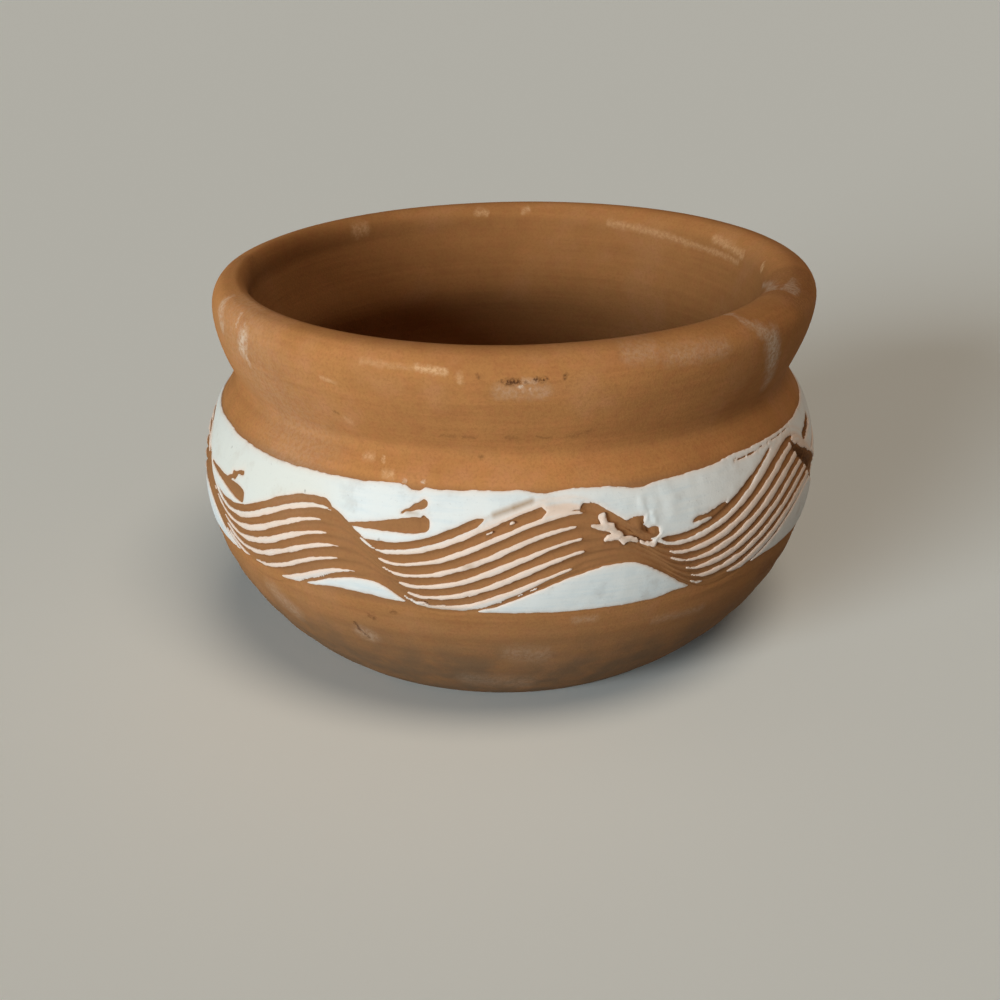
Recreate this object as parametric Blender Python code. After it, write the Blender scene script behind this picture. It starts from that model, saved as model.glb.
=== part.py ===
"""Terracotta planter: a thrown clay pot with a band of white slip that a comb has scratched into waves.

Metres, +Z up. The origin is the middle of the foot, and the front of the pot faces -Y.
Angles run round the pot from the front, and grow towards +X.
"""

import math

import bmesh
import bpy

# The clay pot: heights start at the ground or at the named height below them
FOOT_RADIUS = 0.0370
BELLY_RADIUS = 0.0586
BELLY_HEIGHT = 0.0353  # of the widest place
NECK_RISE = 0.0175  # from the widest place up to the crease under the collar
NECK_INSET = 0.00715  # how far the crease lies inside the widest place
COLLAR_HEIGHT = 0.0140  # from the crease up to the widest place of the rim
COLLAR_TURN = 0.0086  # height above the crease that the collar's curve bends around
RIM_RADIUS = 0.0560
LIP_WIDTH = 0.0082
LIP_RISE = 0.0044
WALL = 0.0063
FLOOR = 0.0070
DRAIN_RADIUS = 0.0055

# The band of slip on the belly
SHOULDER = 0.0050  # bare clay between the crease and the band
BAND_WIDTH = 0.0199
SLIP_THICKNESS = 0.0006
BED_DEPTH = 0.0005  # how far the comb and the wet slip sink the clay under the band
SLIP_GAP = 0.0003  # clearance between the slip and its bed

# The comb that was drawn through the slip
TOOTH_COUNT = 7
TOOTH_PITCH = 0.00254
TOOTH_WIDTH = 0.00135
COMB_TILT = math.radians(48.5)  # of the row of teeth, below the level
FIELD_MARGIN = 0.0024  # slip that is always left above the waves
POINT_HEIGHT = 0.0003  # height at which the tapering end of a ridge stops

# The waves that the middle tooth draws: trough angle, trough height, crest angle, crest height.
# Angles are in degrees, and heights start at the lower edge of the band.
FRONT_WAVES = (
    (-108.0, 0.0041, -80.0, 0.0125),
    (-53.7, 0.0024, -28.5, 0.0099),
    (-16.5, 0.0048, 13.0, 0.0136),
    (32.7, 0.0044, 65.8, 0.0140),
)
BACK_WAVE_COUNT = 4
BACK_WAVES_START = 83.8
BACK_TROUGH = 0.0041
BACK_CREST = 0.0125
RISE_SHARE = 0.65  # of a wave, the rest is its quicker fall

# The bare mark that the comb leaves in the upper field as it turns: its place is from each trough
TAIL_START = math.radians(-11.0)
TAIL_SPAN = math.radians(14.4)
TAIL_HEIGHT = 0.0080
TAIL_RISE = 0.0019
TAIL_WIDTH = 0.0026
TAIL_OUTLINE = ((0.0, 0.15), (0.35, 0.5), (0.7, 0.85), (0.9, 1.0), (1.0, 0.6))  # shares of span and width

# Fineness of the meshes
POT_SEGMENTS = 72
LIP_POINTS = 9
COLLAR_POINTS = 7
SHOULDER_POINTS = 3
BELLY_POINTS = 9
INSIDE_POINTS = 10
THROAT_POINTS = 6
FIELD_STATIONS = 128
ISLAND_STATIONS = 13
RIDGE_STATIONS = 9
SEARCH_STEPS = 240

# The belly is two half ellipses that meet at its widest place
LOWER_RISE = BELLY_HEIGHT / math.sqrt(1 - (FOOT_RADIUS / BELLY_RADIUS) ** 2)
UPPER_RISE = NECK_RISE / math.sqrt(1 - (1 - NECK_INSET / BELLY_RADIUS) ** 2)
NECK_HEIGHT = BELLY_HEIGHT + NECK_RISE
RIM_HEIGHT = NECK_HEIGHT + COLLAR_HEIGHT
BAND_TOP = NECK_HEIGHT - SHOULDER
BAND_BOTTOM = BAND_TOP - BAND_WIDTH
LAST_TOOTH = (TOOTH_COUNT - 1) / 2 * TOOTH_PITCH


def clear_scene():
    for old in list(bpy.data.objects):
        bpy.data.objects.remove(old, do_unlink=True)


def finish(name, colour, roughness):
    material = bpy.data.materials.new(name)
    material.use_nodes = True
    shader = material.node_tree.nodes["Principled BSDF"]
    shader.inputs["Base Color"].default_value = (*colour, 1.0)
    shader.inputs["Roughness"].default_value = roughness
    shader.inputs["Metallic"].default_value = 0.0
    return material


def add_object(name, mesh, parent, material=None):
    piece = bpy.data.objects.new(name, mesh)
    bpy.context.scene.collection.objects.link(piece)
    piece.parent = parent
    if material:
        mesh.materials.append(material)
    return piece


def steps(first, last, count):
    """Evenly spaced values from first to last, both included."""
    return [first + (last - first) * i / (count - 1) for i in range(count)]


def bend(start, control, end, count):
    """Points of a quadratic curve from start to end."""
    points = []
    for t in steps(0.0, 1.0, count):
        weights = ((1 - t) ** 2, 2 * t * (1 - t), t * t)
        points.append(tuple(sum(w * p[k] for w, p in zip(weights, (start, control, end))) for k in (0, 1)))
    return points


def belly_rise(height):
    return UPPER_RISE if height > BELLY_HEIGHT else LOWER_RISE


def belly_point(height, offset=0.0):
    """Radius and height of a point on the belly's ellipse, moved out of the surface by offset."""
    rise = belly_rise(height)
    lift = (height - BELLY_HEIGHT) / rise
    radius = BELLY_RADIUS * math.sqrt(1 - lift * lift)
    out, up = radius / BELLY_RADIUS**2, lift / rise
    length = math.hypot(out, up)
    return radius + offset * out / length, height + offset * up / length


def inside_point(height):
    """Radius and height of a point on the inside of the belly."""
    lift = (height - BELLY_HEIGHT) / (belly_rise(height) - WALL)
    return (BELLY_RADIUS - WALL) * math.sqrt(1 - lift * lift), height


def pot_profile():
    """The pot's cross-section: over the lip, down the outside, through the drain hole and up the inside."""
    lip_centre = RIM_RADIUS - LIP_WIDTH / 2
    lip = [
        (lip_centre - LIP_WIDTH / 2 * math.cos(a), RIM_HEIGHT + LIP_RISE * math.sin(a))
        for a in steps(0.0, math.pi, LIP_POINTS)
    ]
    neck = belly_point(NECK_HEIGHT)
    collar = bend(lip[-1], (RIM_RADIUS, NECK_HEIGHT + COLLAR_TURN), neck, COLLAR_POINTS)
    bed_top, bed_bottom = BAND_TOP + SLIP_GAP, BAND_BOTTOM - SLIP_GAP
    shoulder = [belly_point(z) for z in steps(NECK_HEIGHT, bed_top, SHOULDER_POINTS)]
    bed = [belly_point(z, -BED_DEPTH) for z in steps(bed_top, bed_bottom, BELLY_POINTS)]
    under = [belly_point(z) for z in steps(bed_bottom, 0.0, BELLY_POINTS)]
    drain = [(DRAIN_RADIUS, 0.0), (DRAIN_RADIUS, FLOOR)]
    throat_radius = neck[0] - WALL
    throat_share = throat_radius / (BELLY_RADIUS - WALL)
    throat_height = BELLY_HEIGHT + (UPPER_RISE - WALL) * math.sqrt(1 - throat_share**2)
    inside = [inside_point(z) for z in steps(FLOOR, throat_height, INSIDE_POINTS)]
    throat = bend(inside[-1], (throat_radius, (throat_height + RIM_HEIGHT) / 2), lip[0], THROAT_POINTS)
    return lip + collar[1:] + shoulder[1:] + bed + under + drain + inside + throat[1:-1]


def make_pot(parent, material):
    mesh = bpy.data.meshes.new("clay_pot")
    profile = pot_profile()
    count = len(profile)
    edges = [(i, (i + 1) % count) for i in range(count)]
    mesh.from_pydata([(radius, 0.0, height) for radius, height in profile], edges, [])
    pot = add_object("clay_pot", mesh, parent, material)
    turn = pot.modifiers.new("turn on the wheel", "SCREW")
    turn.axis = "Z"
    turn.steps = turn.render_steps = POT_SEGMENTS
    turn.use_merge_vertices = True
    turn.merge_threshold = 1e-5
    turn.use_smooth_shade = True
    return pot


def turning_points():
    """Angle in radians and height of each trough and crest round the pot, from the first trough to itself."""
    turns = []
    for trough_angle, trough, crest_angle, crest in FRONT_WAVES:
        turns.append((math.radians(trough_angle), BAND_BOTTOM + trough))
        turns.append((math.radians(crest_angle), BAND_BOTTOM + crest))
    first = turns[0]
    start, end = math.radians(BACK_WAVES_START), first[0] + math.tau
    for wave in range(BACK_WAVE_COUNT):
        span = (end - start) / BACK_WAVE_COUNT
        turns.append((start + wave * span, BAND_BOTTOM + BACK_TROUGH))
        turns.append((start + (wave + RISE_SHARE) * span, BAND_BOTTOM + BACK_CREST))
    turns.append((end, first[1]))
    return turns


TURNS = turning_points()
WAVE_COUNT = len(TURNS) // 2


def comb_curve(angle, along_comb):
    """Height and slope of the line drawn by a point of the comb, along_comb below the middle tooth."""
    angle -= along_comb * math.cos(COMB_TILT) / BELLY_RADIUS
    angle = TURNS[0][0] + (angle - TURNS[0][0]) % math.tau
    for (angle_a, height_a), (angle_b, height_b) in zip(TURNS, TURNS[1:]):
        if angle <= angle_b:
            break
    phase = math.pi * (angle - angle_a) / (angle_b - angle_a)
    rise = height_b - height_a
    slope = rise / 2 * math.sin(phase) * math.pi / (angle_b - angle_a) / BELLY_RADIUS
    height = height_a + rise * (1 - math.cos(phase)) / 2
    return height - along_comb * math.sin(COMB_TILT), slope


def upper_edge_of_combing(angle):
    height, slope = comb_curve(angle, -LAST_TOOTH)
    return min(height + TOOTH_WIDTH / 2 * math.hypot(1, slope), BAND_TOP - FIELD_MARGIN)


def lower_edge_of_combing(angle):
    height, slope = comb_curve(angle, LAST_TOOTH)
    return height - TOOTH_WIDTH / 2 * math.hypot(1, slope)


def ridge_edges(angle, ridge):
    """Lower and upper edge of the slip that is left between two teeth."""
    height, slope = comb_curve(angle, (ridge + 0.5) * TOOTH_PITCH - LAST_TOOTH)
    pitch_height = TOOTH_PITCH * (math.sin(COMB_TILT) + math.cos(COMB_TILT) * slope)
    thickness = pitch_height - TOOTH_WIDTH * math.hypot(1, slope)
    return height - thickness / 2, height + thickness / 2


def island_edges(angle):
    return BAND_BOTTOM, lower_edge_of_combing(angle)


def longest_run(angles, keep):
    """First and last angle of the longest unbroken stretch that passes the test."""
    runs = [[]]
    for angle in angles:
        if keep(angle):
            runs[-1].append(angle)
        elif runs[-1]:
            runs.append([])
    best = max(runs, key=len)
    return best[0], best[-1]


def wave_stations(wave, along_comb, edges, keep, count):
    """Stations of a piece of one wave, between the middles of the falls before and after it."""
    shift = along_comb * math.cos(COMB_TILT) / BELLY_RADIUS + SLIP_GAP / BELLY_RADIUS
    trough, crest = TURNS[2 * wave][0], TURNS[2 * wave + 1][0]
    crest_before = TURNS[2 * wave - 1][0] if wave else TURNS[-2][0] - math.tau
    first = (crest_before + trough) / 2 + shift
    last = (crest + TURNS[2 * wave + 2][0]) / 2 + shift - 2 * SLIP_GAP / BELLY_RADIUS
    first, last = longest_run(steps(first, last, SEARCH_STEPS), keep)
    return [(angle, *edges(angle)) for angle in steps(first, last, count)]


def ridge_stations(wave, ridge):
    def edges(angle):
        return ridge_edges(angle, ridge)

    def slip_is_left(angle):
        low, high = edges(angle)
        under_field = upper_edge_of_combing(angle) - TOOTH_WIDTH / 2
        return high - low >= POINT_HEIGHT and low >= BAND_BOTTOM and high <= under_field

    along_comb = (ridge + 0.5) * TOOTH_PITCH - LAST_TOOTH
    return wave_stations(wave, along_comb, edges, slip_is_left, RIDGE_STATIONS)


def island_stations(wave):
    """The island lies under a crest, so it runs from one trough to the next."""

    def slip_is_left(angle):
        low, high = island_edges(angle)
        return high - low >= POINT_HEIGHT

    shift = LAST_TOOTH * math.cos(COMB_TILT) / BELLY_RADIUS
    first, last = TURNS[2 * wave][0] + shift, TURNS[2 * wave + 2][0] + shift
    first, last = longest_run(steps(first, last, SEARCH_STEPS), slip_is_left)
    return [(angle, *island_edges(angle)) for angle in steps(first, last, ISLAND_STATIONS)]


def make_slip(name, stations, rows, parent, material, closed=False):
    """A coat of slip between a lower and an upper edge, which are given at stations round the pot."""
    coat = bmesh.new()
    columns = []
    for angle, low, high in stations:
        places = [belly_point(z, SLIP_GAP - BED_DEPTH) for z in steps(low, high, rows + 1)]
        columns.append([coat.verts.new((r * math.sin(angle), -r * math.cos(angle), z)) for r, z in places])
    neighbours = columns[1:] + columns[:1] if closed else columns[1:]
    for left, right in zip(columns, neighbours):
        for row in range(rows):
            coat.faces.new((left[row], right[row], right[row + 1], left[row + 1]))
    mesh = bpy.data.meshes.new(name)
    coat.to_mesh(mesh)
    coat.free()
    piece = add_object(name, mesh, parent, material)
    layer = piece.modifiers.new("thickness of the slip", "SOLIDIFY")
    layer.thickness = SLIP_THICKNESS
    layer.offset = 1.0
    return piece


def make_tail_cutter(wave, parent):
    """A wedge that cuts the comb's turning mark out of the upper field."""
    trough_angle, trough_height = TURNS[2 * wave]
    upper, lower = [], []
    for share, width in TAIL_OUTLINE:
        angle = trough_angle + TAIL_START + share * TAIL_SPAN
        middle = trough_height + TAIL_HEIGHT + share * TAIL_RISE
        upper.append((angle, middle + width * TAIL_WIDTH / 2))
        lower.append((angle, middle - width * TAIL_WIDTH / 2))
    outline = lower + upper[::-1]
    wedge = bmesh.new()
    rings = []
    for depth in (-BED_DEPTH, SLIP_THICKNESS + BED_DEPTH):
        ring = []
        for angle, height in outline:
            radius, z = belly_point(height, depth)
            ring.append(wedge.verts.new((radius * math.sin(angle), -radius * math.cos(angle), z)))
        rings.append(ring)
    inner, outer = rings
    wedge.faces.new(inner[::-1])
    wedge.faces.new(outer)
    for i in range(len(outline)):
        j = (i + 1) % len(outline)
        wedge.faces.new((inner[i], inner[j], outer[j], outer[i]))
    mesh = bpy.data.meshes.new(f"tail_cutter_{wave + 1}")
    wedge.to_mesh(mesh)
    wedge.free()
    cutter = add_object(mesh.name, mesh, parent)
    cutter.hide_render = True
    cutter.display_type = "WIRE"
    return cutter


def make_upper_field(parent, material):
    angles = [math.tau * i / FIELD_STATIONS for i in range(FIELD_STATIONS)]
    stations = [(angle, upper_edge_of_combing(angle), BAND_TOP) for angle in angles]
    field = make_slip("slip_upper_field", stations, 2, parent, material, closed=True)
    for wave in range(WAVE_COUNT):
        cut = field.modifiers.new(f"tail {wave + 1}", "BOOLEAN")
        cut.operation = "DIFFERENCE"
        cut.solver = "EXACT"
        cut.object = make_tail_cutter(wave, parent)
    return field


def main():
    clear_scene()
    planter = add_object("planter", None, None)
    clay = finish("fired_clay", (0.40, 0.19, 0.075), 0.85)
    slip = finish("white_slip", (0.80, 0.77, 0.72), 0.8)
    make_pot(planter, clay)
    make_upper_field(planter, slip)
    for wave in range(WAVE_COUNT):
        make_slip(f"slip_lower_island_{wave + 1}", island_stations(wave), 2, planter, slip)
        for ridge in range(TOOTH_COUNT - 1):
            name = f"slip_ridge_{wave + 1}_{ridge + 1}"
            make_slip(name, ridge_stations(wave, ridge), 1, planter, slip)


main()
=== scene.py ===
# %% [markdown]
# # A combed terracotta planter
# A potter threw this small planter on the wheel, brushed a band of white liquid clay, called slip, round
# its belly, and drew a comb with seven teeth through the wet slip in waves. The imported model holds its
# sizes. This script adds what the hand left: grooves, ragged slip, soft edges, stains and the colour of
# fired clay. All lengths are in metres, the front of the pot faces -Y, and angles grow from the front
# towards +X.

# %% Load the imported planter
import math

import bpy
import numpy as np
from mathutils import Matrix, Vector


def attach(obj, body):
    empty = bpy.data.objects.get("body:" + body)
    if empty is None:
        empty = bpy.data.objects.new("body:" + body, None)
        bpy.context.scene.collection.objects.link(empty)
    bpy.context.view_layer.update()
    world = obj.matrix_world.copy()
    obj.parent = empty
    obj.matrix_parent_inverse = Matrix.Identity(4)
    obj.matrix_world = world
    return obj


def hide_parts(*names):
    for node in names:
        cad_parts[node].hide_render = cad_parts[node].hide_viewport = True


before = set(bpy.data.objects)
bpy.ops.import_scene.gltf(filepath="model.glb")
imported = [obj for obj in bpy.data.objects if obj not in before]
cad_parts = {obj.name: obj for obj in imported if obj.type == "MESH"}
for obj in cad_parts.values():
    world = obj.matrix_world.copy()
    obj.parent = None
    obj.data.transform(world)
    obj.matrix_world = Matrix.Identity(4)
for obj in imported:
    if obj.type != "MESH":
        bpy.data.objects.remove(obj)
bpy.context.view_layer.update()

# %% [markdown]
# ## The camera
# A phone looked down on the pot from a hand's reach away. The lens and the place were worked out from the
# rim, the crease under the collar and the band, whose ellipses open by different amounts at different
# heights. The camera is turned step by step: lean down from the vertical, a little roll, a little turn to
# the side.

# %% Camera
CAMERA_PLACE = (0.0, -0.2753, 0.1420)
CAMERA_TURN = math.radians(0.336)
CAMERA_LEAN = math.radians(66.56)
CAMERA_ROLL = math.radians(-0.67)
CAMERA_LENS = 54.0
CAMERA_SENSOR = 36.0

camera_data = bpy.data.cameras.new("photo_camera")
camera_data.lens = CAMERA_LENS
camera_data.sensor_width = CAMERA_SENSOR
camera = bpy.data.objects.new("photo_camera", camera_data)
bpy.context.scene.collection.objects.link(camera)
camera.matrix_world = (
    Matrix.Translation(CAMERA_PLACE)
    @ Matrix.Rotation(CAMERA_TURN, 4, "Z")
    @ Matrix.Rotation(CAMERA_LEAN, 4, "X")
    @ Matrix.Rotation(CAMERA_ROLL, 4, "Z")
)
bpy.context.scene.camera = camera
print("camera", [round(v, 3) for v in camera.matrix_world.translation])

# %% [markdown]
# ## Sizes of the pot
# The belly is two half ellipses that meet at its widest place and are turned round the axis, and the
# collar above them leans out to a thick lip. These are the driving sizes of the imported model, so the
# finished skin lies where its solids are.

# %% Sizes
FOOT_RADIUS = 0.0370
BELLY_RADIUS = 0.0586
BELLY_HEIGHT = 0.0353
NECK_RISE = 0.0175
NECK_INSET = 0.00715
NECK_HEIGHT = BELLY_HEIGHT + NECK_RISE
RIM_RADIUS = 0.0560
RIM_HEIGHT = NECK_HEIGHT + 0.0140
COLLAR_TURN = 0.0086
LIP_WIDTH = 0.0082
LIP_RISE = 0.0044
LIP_TOP = RIM_HEIGHT + LIP_RISE
WALL = 0.0063
FLOOR = 0.0070
DRAIN_RADIUS = 0.0055
BAND_TOP = NECK_HEIGHT - 0.0050
BAND_BOTTOM = BAND_TOP - 0.0199
LOWER_RISE = BELLY_HEIGHT / math.sqrt(1 - (FOOT_RADIUS / BELLY_RADIUS) ** 2)
UPPER_RISE = NECK_RISE / math.sqrt(1 - (1 - NECK_INSET / BELLY_RADIUS) ** 2)


def belly_lift(height, wall=0.0):
    """Share of the ellipse's half height at which a height lies, on the outside or inside a wall."""
    return (height - BELLY_HEIGHT) / (np.where(height > BELLY_HEIGHT, UPPER_RISE, LOWER_RISE) - wall)


def belly_point(height, offset=0.0):
    """Radius and height of points on the belly, moved out of its surface by offset."""
    lift = belly_lift(height)
    radius = BELLY_RADIUS * np.sqrt(1 - lift * lift)
    out = radius / BELLY_RADIUS**2
    up = lift / np.where(height > BELLY_HEIGHT, UPPER_RISE, LOWER_RISE)
    length = np.hypot(out, up)
    return radius + offset * out / length, height + offset * up / length


print("neck radius", round(float(belly_point(NECK_HEIGHT)[0]), 4), "rim height", round(RIM_HEIGHT, 4))

# %% [markdown]
# ## Helpers for nodes
# Materials and Geometry Nodes are wired by hand in the editor. In a script the same wiring is shorter
# with a few helpers: they add a node and fill its sockets, do sums, mix two colours and stretch a
# range.


# %% Node helpers
def feed(tree, socket, value):
    """Links a socket's value into another socket, or sets it if it is a plain value."""
    if isinstance(value, bpy.types.NodeSocket):
        tree.links.new(value, socket)
    else:
        socket.default_value = value


def node(tree, kind, sockets=None, **settings):
    """Adds a node. Sockets are named or numbered inputs, settings are the node's own options."""
    made = tree.nodes.new(kind)
    for name, value in settings.items():
        setattr(made, name, value)
    for key, value in (sockets or {}).items():
        feed(tree, made.inputs[key], value)
    return made


def sums(tree, operation, *values):
    return node(tree, "ShaderNodeMath", dict(enumerate(values)), operation=operation).outputs[0]


def mix_colour(tree, share, first, second):
    sockets = {0: share, 6: first, 7: second}
    return node(tree, "ShaderNodeMix", sockets, data_type="RGBA").outputs[2]


def stretch(tree, value, low, high, to_low=0.0, to_high=1.0):
    """Maps a value from one range to another, smoothly and without running past its ends."""
    sockets = {0: value, 1: low, 2: high, 3: to_low, 4: to_high}
    return node(tree, "ShaderNodeMapRange", sockets, interpolation_type="SMOOTHSTEP").outputs[0]


print("node helpers are ready")

# %% [markdown]
# ## Strokes of colour on the skin
# Single marks on the clay, such as a smear of dried slip or a speck of iron, are thinner than the faces
# of the mesh, so they are drawn by the material. Every mark is a stroke between two places on the skin: a
# length round the belly, and a climb, which is the height outside and runs on over the lip and down the
# inside. A small group of nodes measures how far a place is from a stroke, and noise bends the space
# first so that no stroke is straight.

# %% Strokes of colour
LEAN = 0.033
LEAN_HEIGHT = 0.026


def new_tree(name, inputs, outputs, kind="GeometryNodeTree"):
    """A group of nodes with named sockets, and its input and output nodes."""
    tree = bpy.data.node_groups.new(name, kind)
    for in_out, sockets in (("INPUT", inputs), ("OUTPUT", outputs)):
        for socket, socket_kind in sockets.items():
            tree.interface.new_socket(socket, in_out=in_out, socket_type=f"NodeSocket{socket_kind}")
    return tree, node(tree, "NodeGroupInput").outputs, node(tree, "NodeGroupOutput").inputs


def vectors(tree, operation, *values):
    return node(tree, "ShaderNodeVectorMath", dict(enumerate(values)), operation=operation)


def make_stroke_group():
    inputs = dict.fromkeys(("Place", "Start", "Run"), "Vector")
    inputs.update(dict.fromkeys(("Half Width", "Strength"), "Float"))
    tree, given, result = new_tree("stroke_of_colour", inputs, {"Cover": "Float"}, "ShaderNodeTree")
    away = vectors(tree, "SUBTRACT", given["Place"], given["Start"]).outputs[0]
    along = vectors(tree, "DOT_PRODUCT", away, given["Run"]).outputs["Value"]
    whole = vectors(tree, "DOT_PRODUCT", given["Run"], given["Run"]).outputs["Value"]
    share = node(tree, "ShaderNodeClamp", {0: sums(tree, "DIVIDE", along, whole)}).outputs[0]
    part_of_run = {0: given["Run"], 3: share}
    nearest = node(tree, "ShaderNodeVectorMath", part_of_run, operation="SCALE").outputs[0]
    distance = vectors(tree, "DISTANCE", away, nearest).outputs["Value"]
    ratio = sums(tree, "DIVIDE", distance, given["Half Width"])
    feed(tree, result["Cover"], stretch(tree, ratio, 0.0, 1.0, given["Strength"], 0.0))
    return tree


stroke_group = make_stroke_group()


def painted(tree, name):
    """A value that the mesh carries under a name."""
    return node(tree, "ShaderNodeAttribute", attribute_name=name).outputs["Fac"]


def skin_place(tree, place):
    """Length round the belly and climb of a place on the pot, from its place in space."""
    axes = node(tree, "ShaderNodeSeparateXYZ", {0: place}).outputs
    lean = sums(tree, "MULTIPLY", sums(tree, "SUBTRACT", axes["Z"], LEAN_HEIGHT), LEAN)
    front = sums(tree, "MULTIPLY", axes["Y"], -1.0)
    angle = sums(tree, "ARCTAN2", sums(tree, "SUBTRACT", axes["X"], lean), front)
    past_lip = sums(tree, "MULTIPLY", sums(tree, "SUBTRACT", LIP_TOP, axes["Z"]), 2.0)
    climb = sums(tree, "MULTIPLY_ADD", past_lip, painted(tree, "inside"), axes["Z"])
    places = {0: sums(tree, "MULTIPLY", angle, BELLY_RADIUS), 1: climb}
    return node(tree, "ShaderNodeCombineXYZ", places).outputs[0]


def stroke_cover(tree, skin, marks):
    """Strength of the strongest of a list of strokes. Their ends are angles in degrees and climbs."""
    cover = 0.0
    for start, end, half_width, strength in marks:
        first, last = (Vector((math.radians(a) * BELLY_RADIUS, climb, 0)) for a, climb in (start, end))
        group = node(tree, "ShaderNodeGroup", node_tree=stroke_group)
        values = (skin, first, last - first, half_width, strength)
        for socket, value in zip(group.inputs, values):
            feed(tree, socket, value)
        cover = sums(tree, "MAXIMUM", group.outputs[0], cover)
    return cover


print("made", stroke_group.name)

# %% [markdown]
# ## Fired clay
# Low-fired earthenware is matt and orange brown, a little uneven from the fire, with fine lines that the
# fingers left on the wheel, small grains, pale blooms and dark specks. A photograph could be wrapped on
# it, but noise in the object's own space has no seam and no fixed light in it.

# %% Clay helpers
MATT_SHINE = 0.12


def new_finish(name, roughness):
    material = bpy.data.materials.new(name)
    material.use_nodes = True
    tree = material.node_tree
    shader = tree.nodes["Principled BSDF"]
    shader.inputs["Roughness"].default_value = roughness
    shader.inputs["Specular IOR Level"].default_value = MATT_SHINE
    place = node(tree, "ShaderNodeTexCoord").outputs["Object"]
    return material, tree, shader, place


def cloud(tree, place, size, detail=3.0, roughness=0.55, output=0):
    """Noise whose lumps are about one size across."""
    sockets = {"Vector": place, "Scale": 1 / size, "Detail": detail, "Roughness": roughness}
    return node(tree, "ShaderNodeTexNoise", sockets).outputs[output]


def squeezed(tree, place, across, upright):
    """The object's space scaled so that noise of size 1 is wide one way and thin upright."""
    sockets = {"Vector": place, "Scale": (1 / across, 1 / across, 1 / upright)}
    return node(tree, "ShaderNodeMapping", sockets).outputs[0]


def bent(tree, place, skin, size, reach):
    """A place on the skin moved a little by noise, up to half of reach each way."""
    noise = cloud(tree, place, size, 3.0, 0.6, "Color")
    centred = vectors(tree, "SUBTRACT", noise, (0.5, 0.5, 0.5)).outputs[0]
    flat = vectors(tree, "MULTIPLY", centred, (reach, reach, 0.0)).outputs[0]
    return vectors(tree, "ADD", skin, flat).outputs[0]


def add_bump(tree, shader, height, depth, strength):
    sockets = {"Strength": strength, "Distance": depth, "Height": height}
    bump = node(tree, "ShaderNodeBump", sockets)
    tree.links.new(bump.outputs[0], shader.inputs["Normal"])


print("clay helpers are ready")

# %% [markdown]
# ## Marks on the clay
# The pot is a used one. Pale dust of dried slip was wiped over the collar at the left and the right, a
# chip near the lip shows dark specks round a pale scar, and there is a short crack low on the belly.
# Peach smudges lie on the front of the collar, on the shoulder and inside the lip. A few strokes are
# painted light and shade: a painted glint on the chip and one inside the lip, and painted shade on the
# lip at the right, on the clay lump and in the gouge at the right of the band. Each list holds strokes
# with the angle and climb of both ends, a half width and a strength.

# %% Marks on the clay
BLOOMS_AND_GLINT = (
    ((-68.4, 0.0692), (-65.2, 0.0665), 0.0026, 0.55),
    ((-58.6, 0.0698), (-58.2, 0.0684), 0.0009, 0.60),
    ((-55.0, 0.0672), (-55.6, 0.0647), 0.0030, 0.85),
    ((-54.6, 0.0642), (-53.9, 0.0620), 0.0011, 0.65),
    ((-2.4, 0.0652), (4.4, 0.0650), 0.0022, 0.26),
    ((1.4, 0.0668), (3.0, 0.0665), 0.0010, 0.40),
    # a painted glint on the chip scar
    ((0.5, 0.0658), (0.9, 0.0659), 0.0005, 1.00),
    ((2.1, 0.0654), (2.2, 0.0654), 0.0004, 0.70),
    ((43.7, 0.0710), (46.6, 0.0691), 0.0012, 0.40),
    ((46.6, 0.0691), (50.4, 0.0668), 0.0019, 0.60),
    ((50.0, 0.0668), (52.6, 0.0621), 0.0034, 0.95),
    ((52.6, 0.0621), (54.7, 0.0581), 0.0032, 0.60),
    ((64.2, 0.0712), (73.0, 0.0722), 0.0009, 0.55),
    ((73.0, 0.0722), (84.5, 0.0750), 0.0010, 0.40),
    ((18.5, 0.0698), (23.0, 0.0696), 0.0026, 0.20),
    ((26.0, 0.0687), (37.0, 0.0681), 0.0028, 0.22),
    ((-18.8, 0.0486), (-18.6, 0.0486), 0.0005, 0.90),
    ((-15.4, 0.0487), (-15.2, 0.0487), 0.0005, 0.80),
    ((26.3, 0.0220), (36.5, 0.0214), 0.0016, 0.15),
    ((11.0, 0.0252), (14.4, 0.0252), 0.0014, 0.20),
    ((-27.0, 0.0196), (-25.4, 0.0190), 0.0026, 0.28),
    ((-60.0, 0.0680), (-42.0, 0.0500), 0.0160, 0.16),
    ((1.0, 0.0180), (6.0, 0.0172), 0.0035, 0.16),
    ((-8.0, 0.0090), (4.0, 0.0080), 0.0040, 0.14),
    ((-48.0, 0.0215), (-44.0, 0.0190), 0.0040, 0.24),
)
PEACH_MARKS_AND_GLINT = (
    ((-16.0, 0.0683), (-11.3, 0.0681), 0.0009, 0.85),
    ((-26.0, 0.0684), (-16.0, 0.0683), 0.0008, 0.30),
    ((-9.0, 0.0676), (-8.7, 0.0667), 0.0010, 0.45),
    ((-27.0, 0.0513), (-25.8, 0.0511), 0.0011, 0.55),
    ((-23.6, 0.0511), (-23.3, 0.0509), 0.0006, 0.95),
    ((-22.6, 0.0492), (-21.2, 0.0491), 0.0010, 0.60),
    ((-30.4, 0.0573), (-29.6, 0.0569), 0.0010, 0.40),
    ((-34.0, 0.0646), (-31.0, 0.0640), 0.0006, 0.45),
    # a painted glint inside the lip at the back
    ((93.2, 0.0727), (91.0, 0.0735), 0.0008, 0.60),
    ((105.8, 0.0737), (120.5, 0.0729), 0.0013, 0.42),
    ((107.2, 0.0753), (126.3, 0.0753), 0.0010, 0.34),
    ((126.3, 0.0753), (154.2, 0.0739), 0.0012, 0.34),
    ((-140.5, 0.0734), (-138.0, 0.0736), 0.0024, 0.50),
    ((-173.5, 0.0728), (-171.0, 0.0727), 0.0011, 0.50),
    ((176.0, 0.0723), (177.0, 0.0726), 0.0010, 0.60),
)
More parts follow.
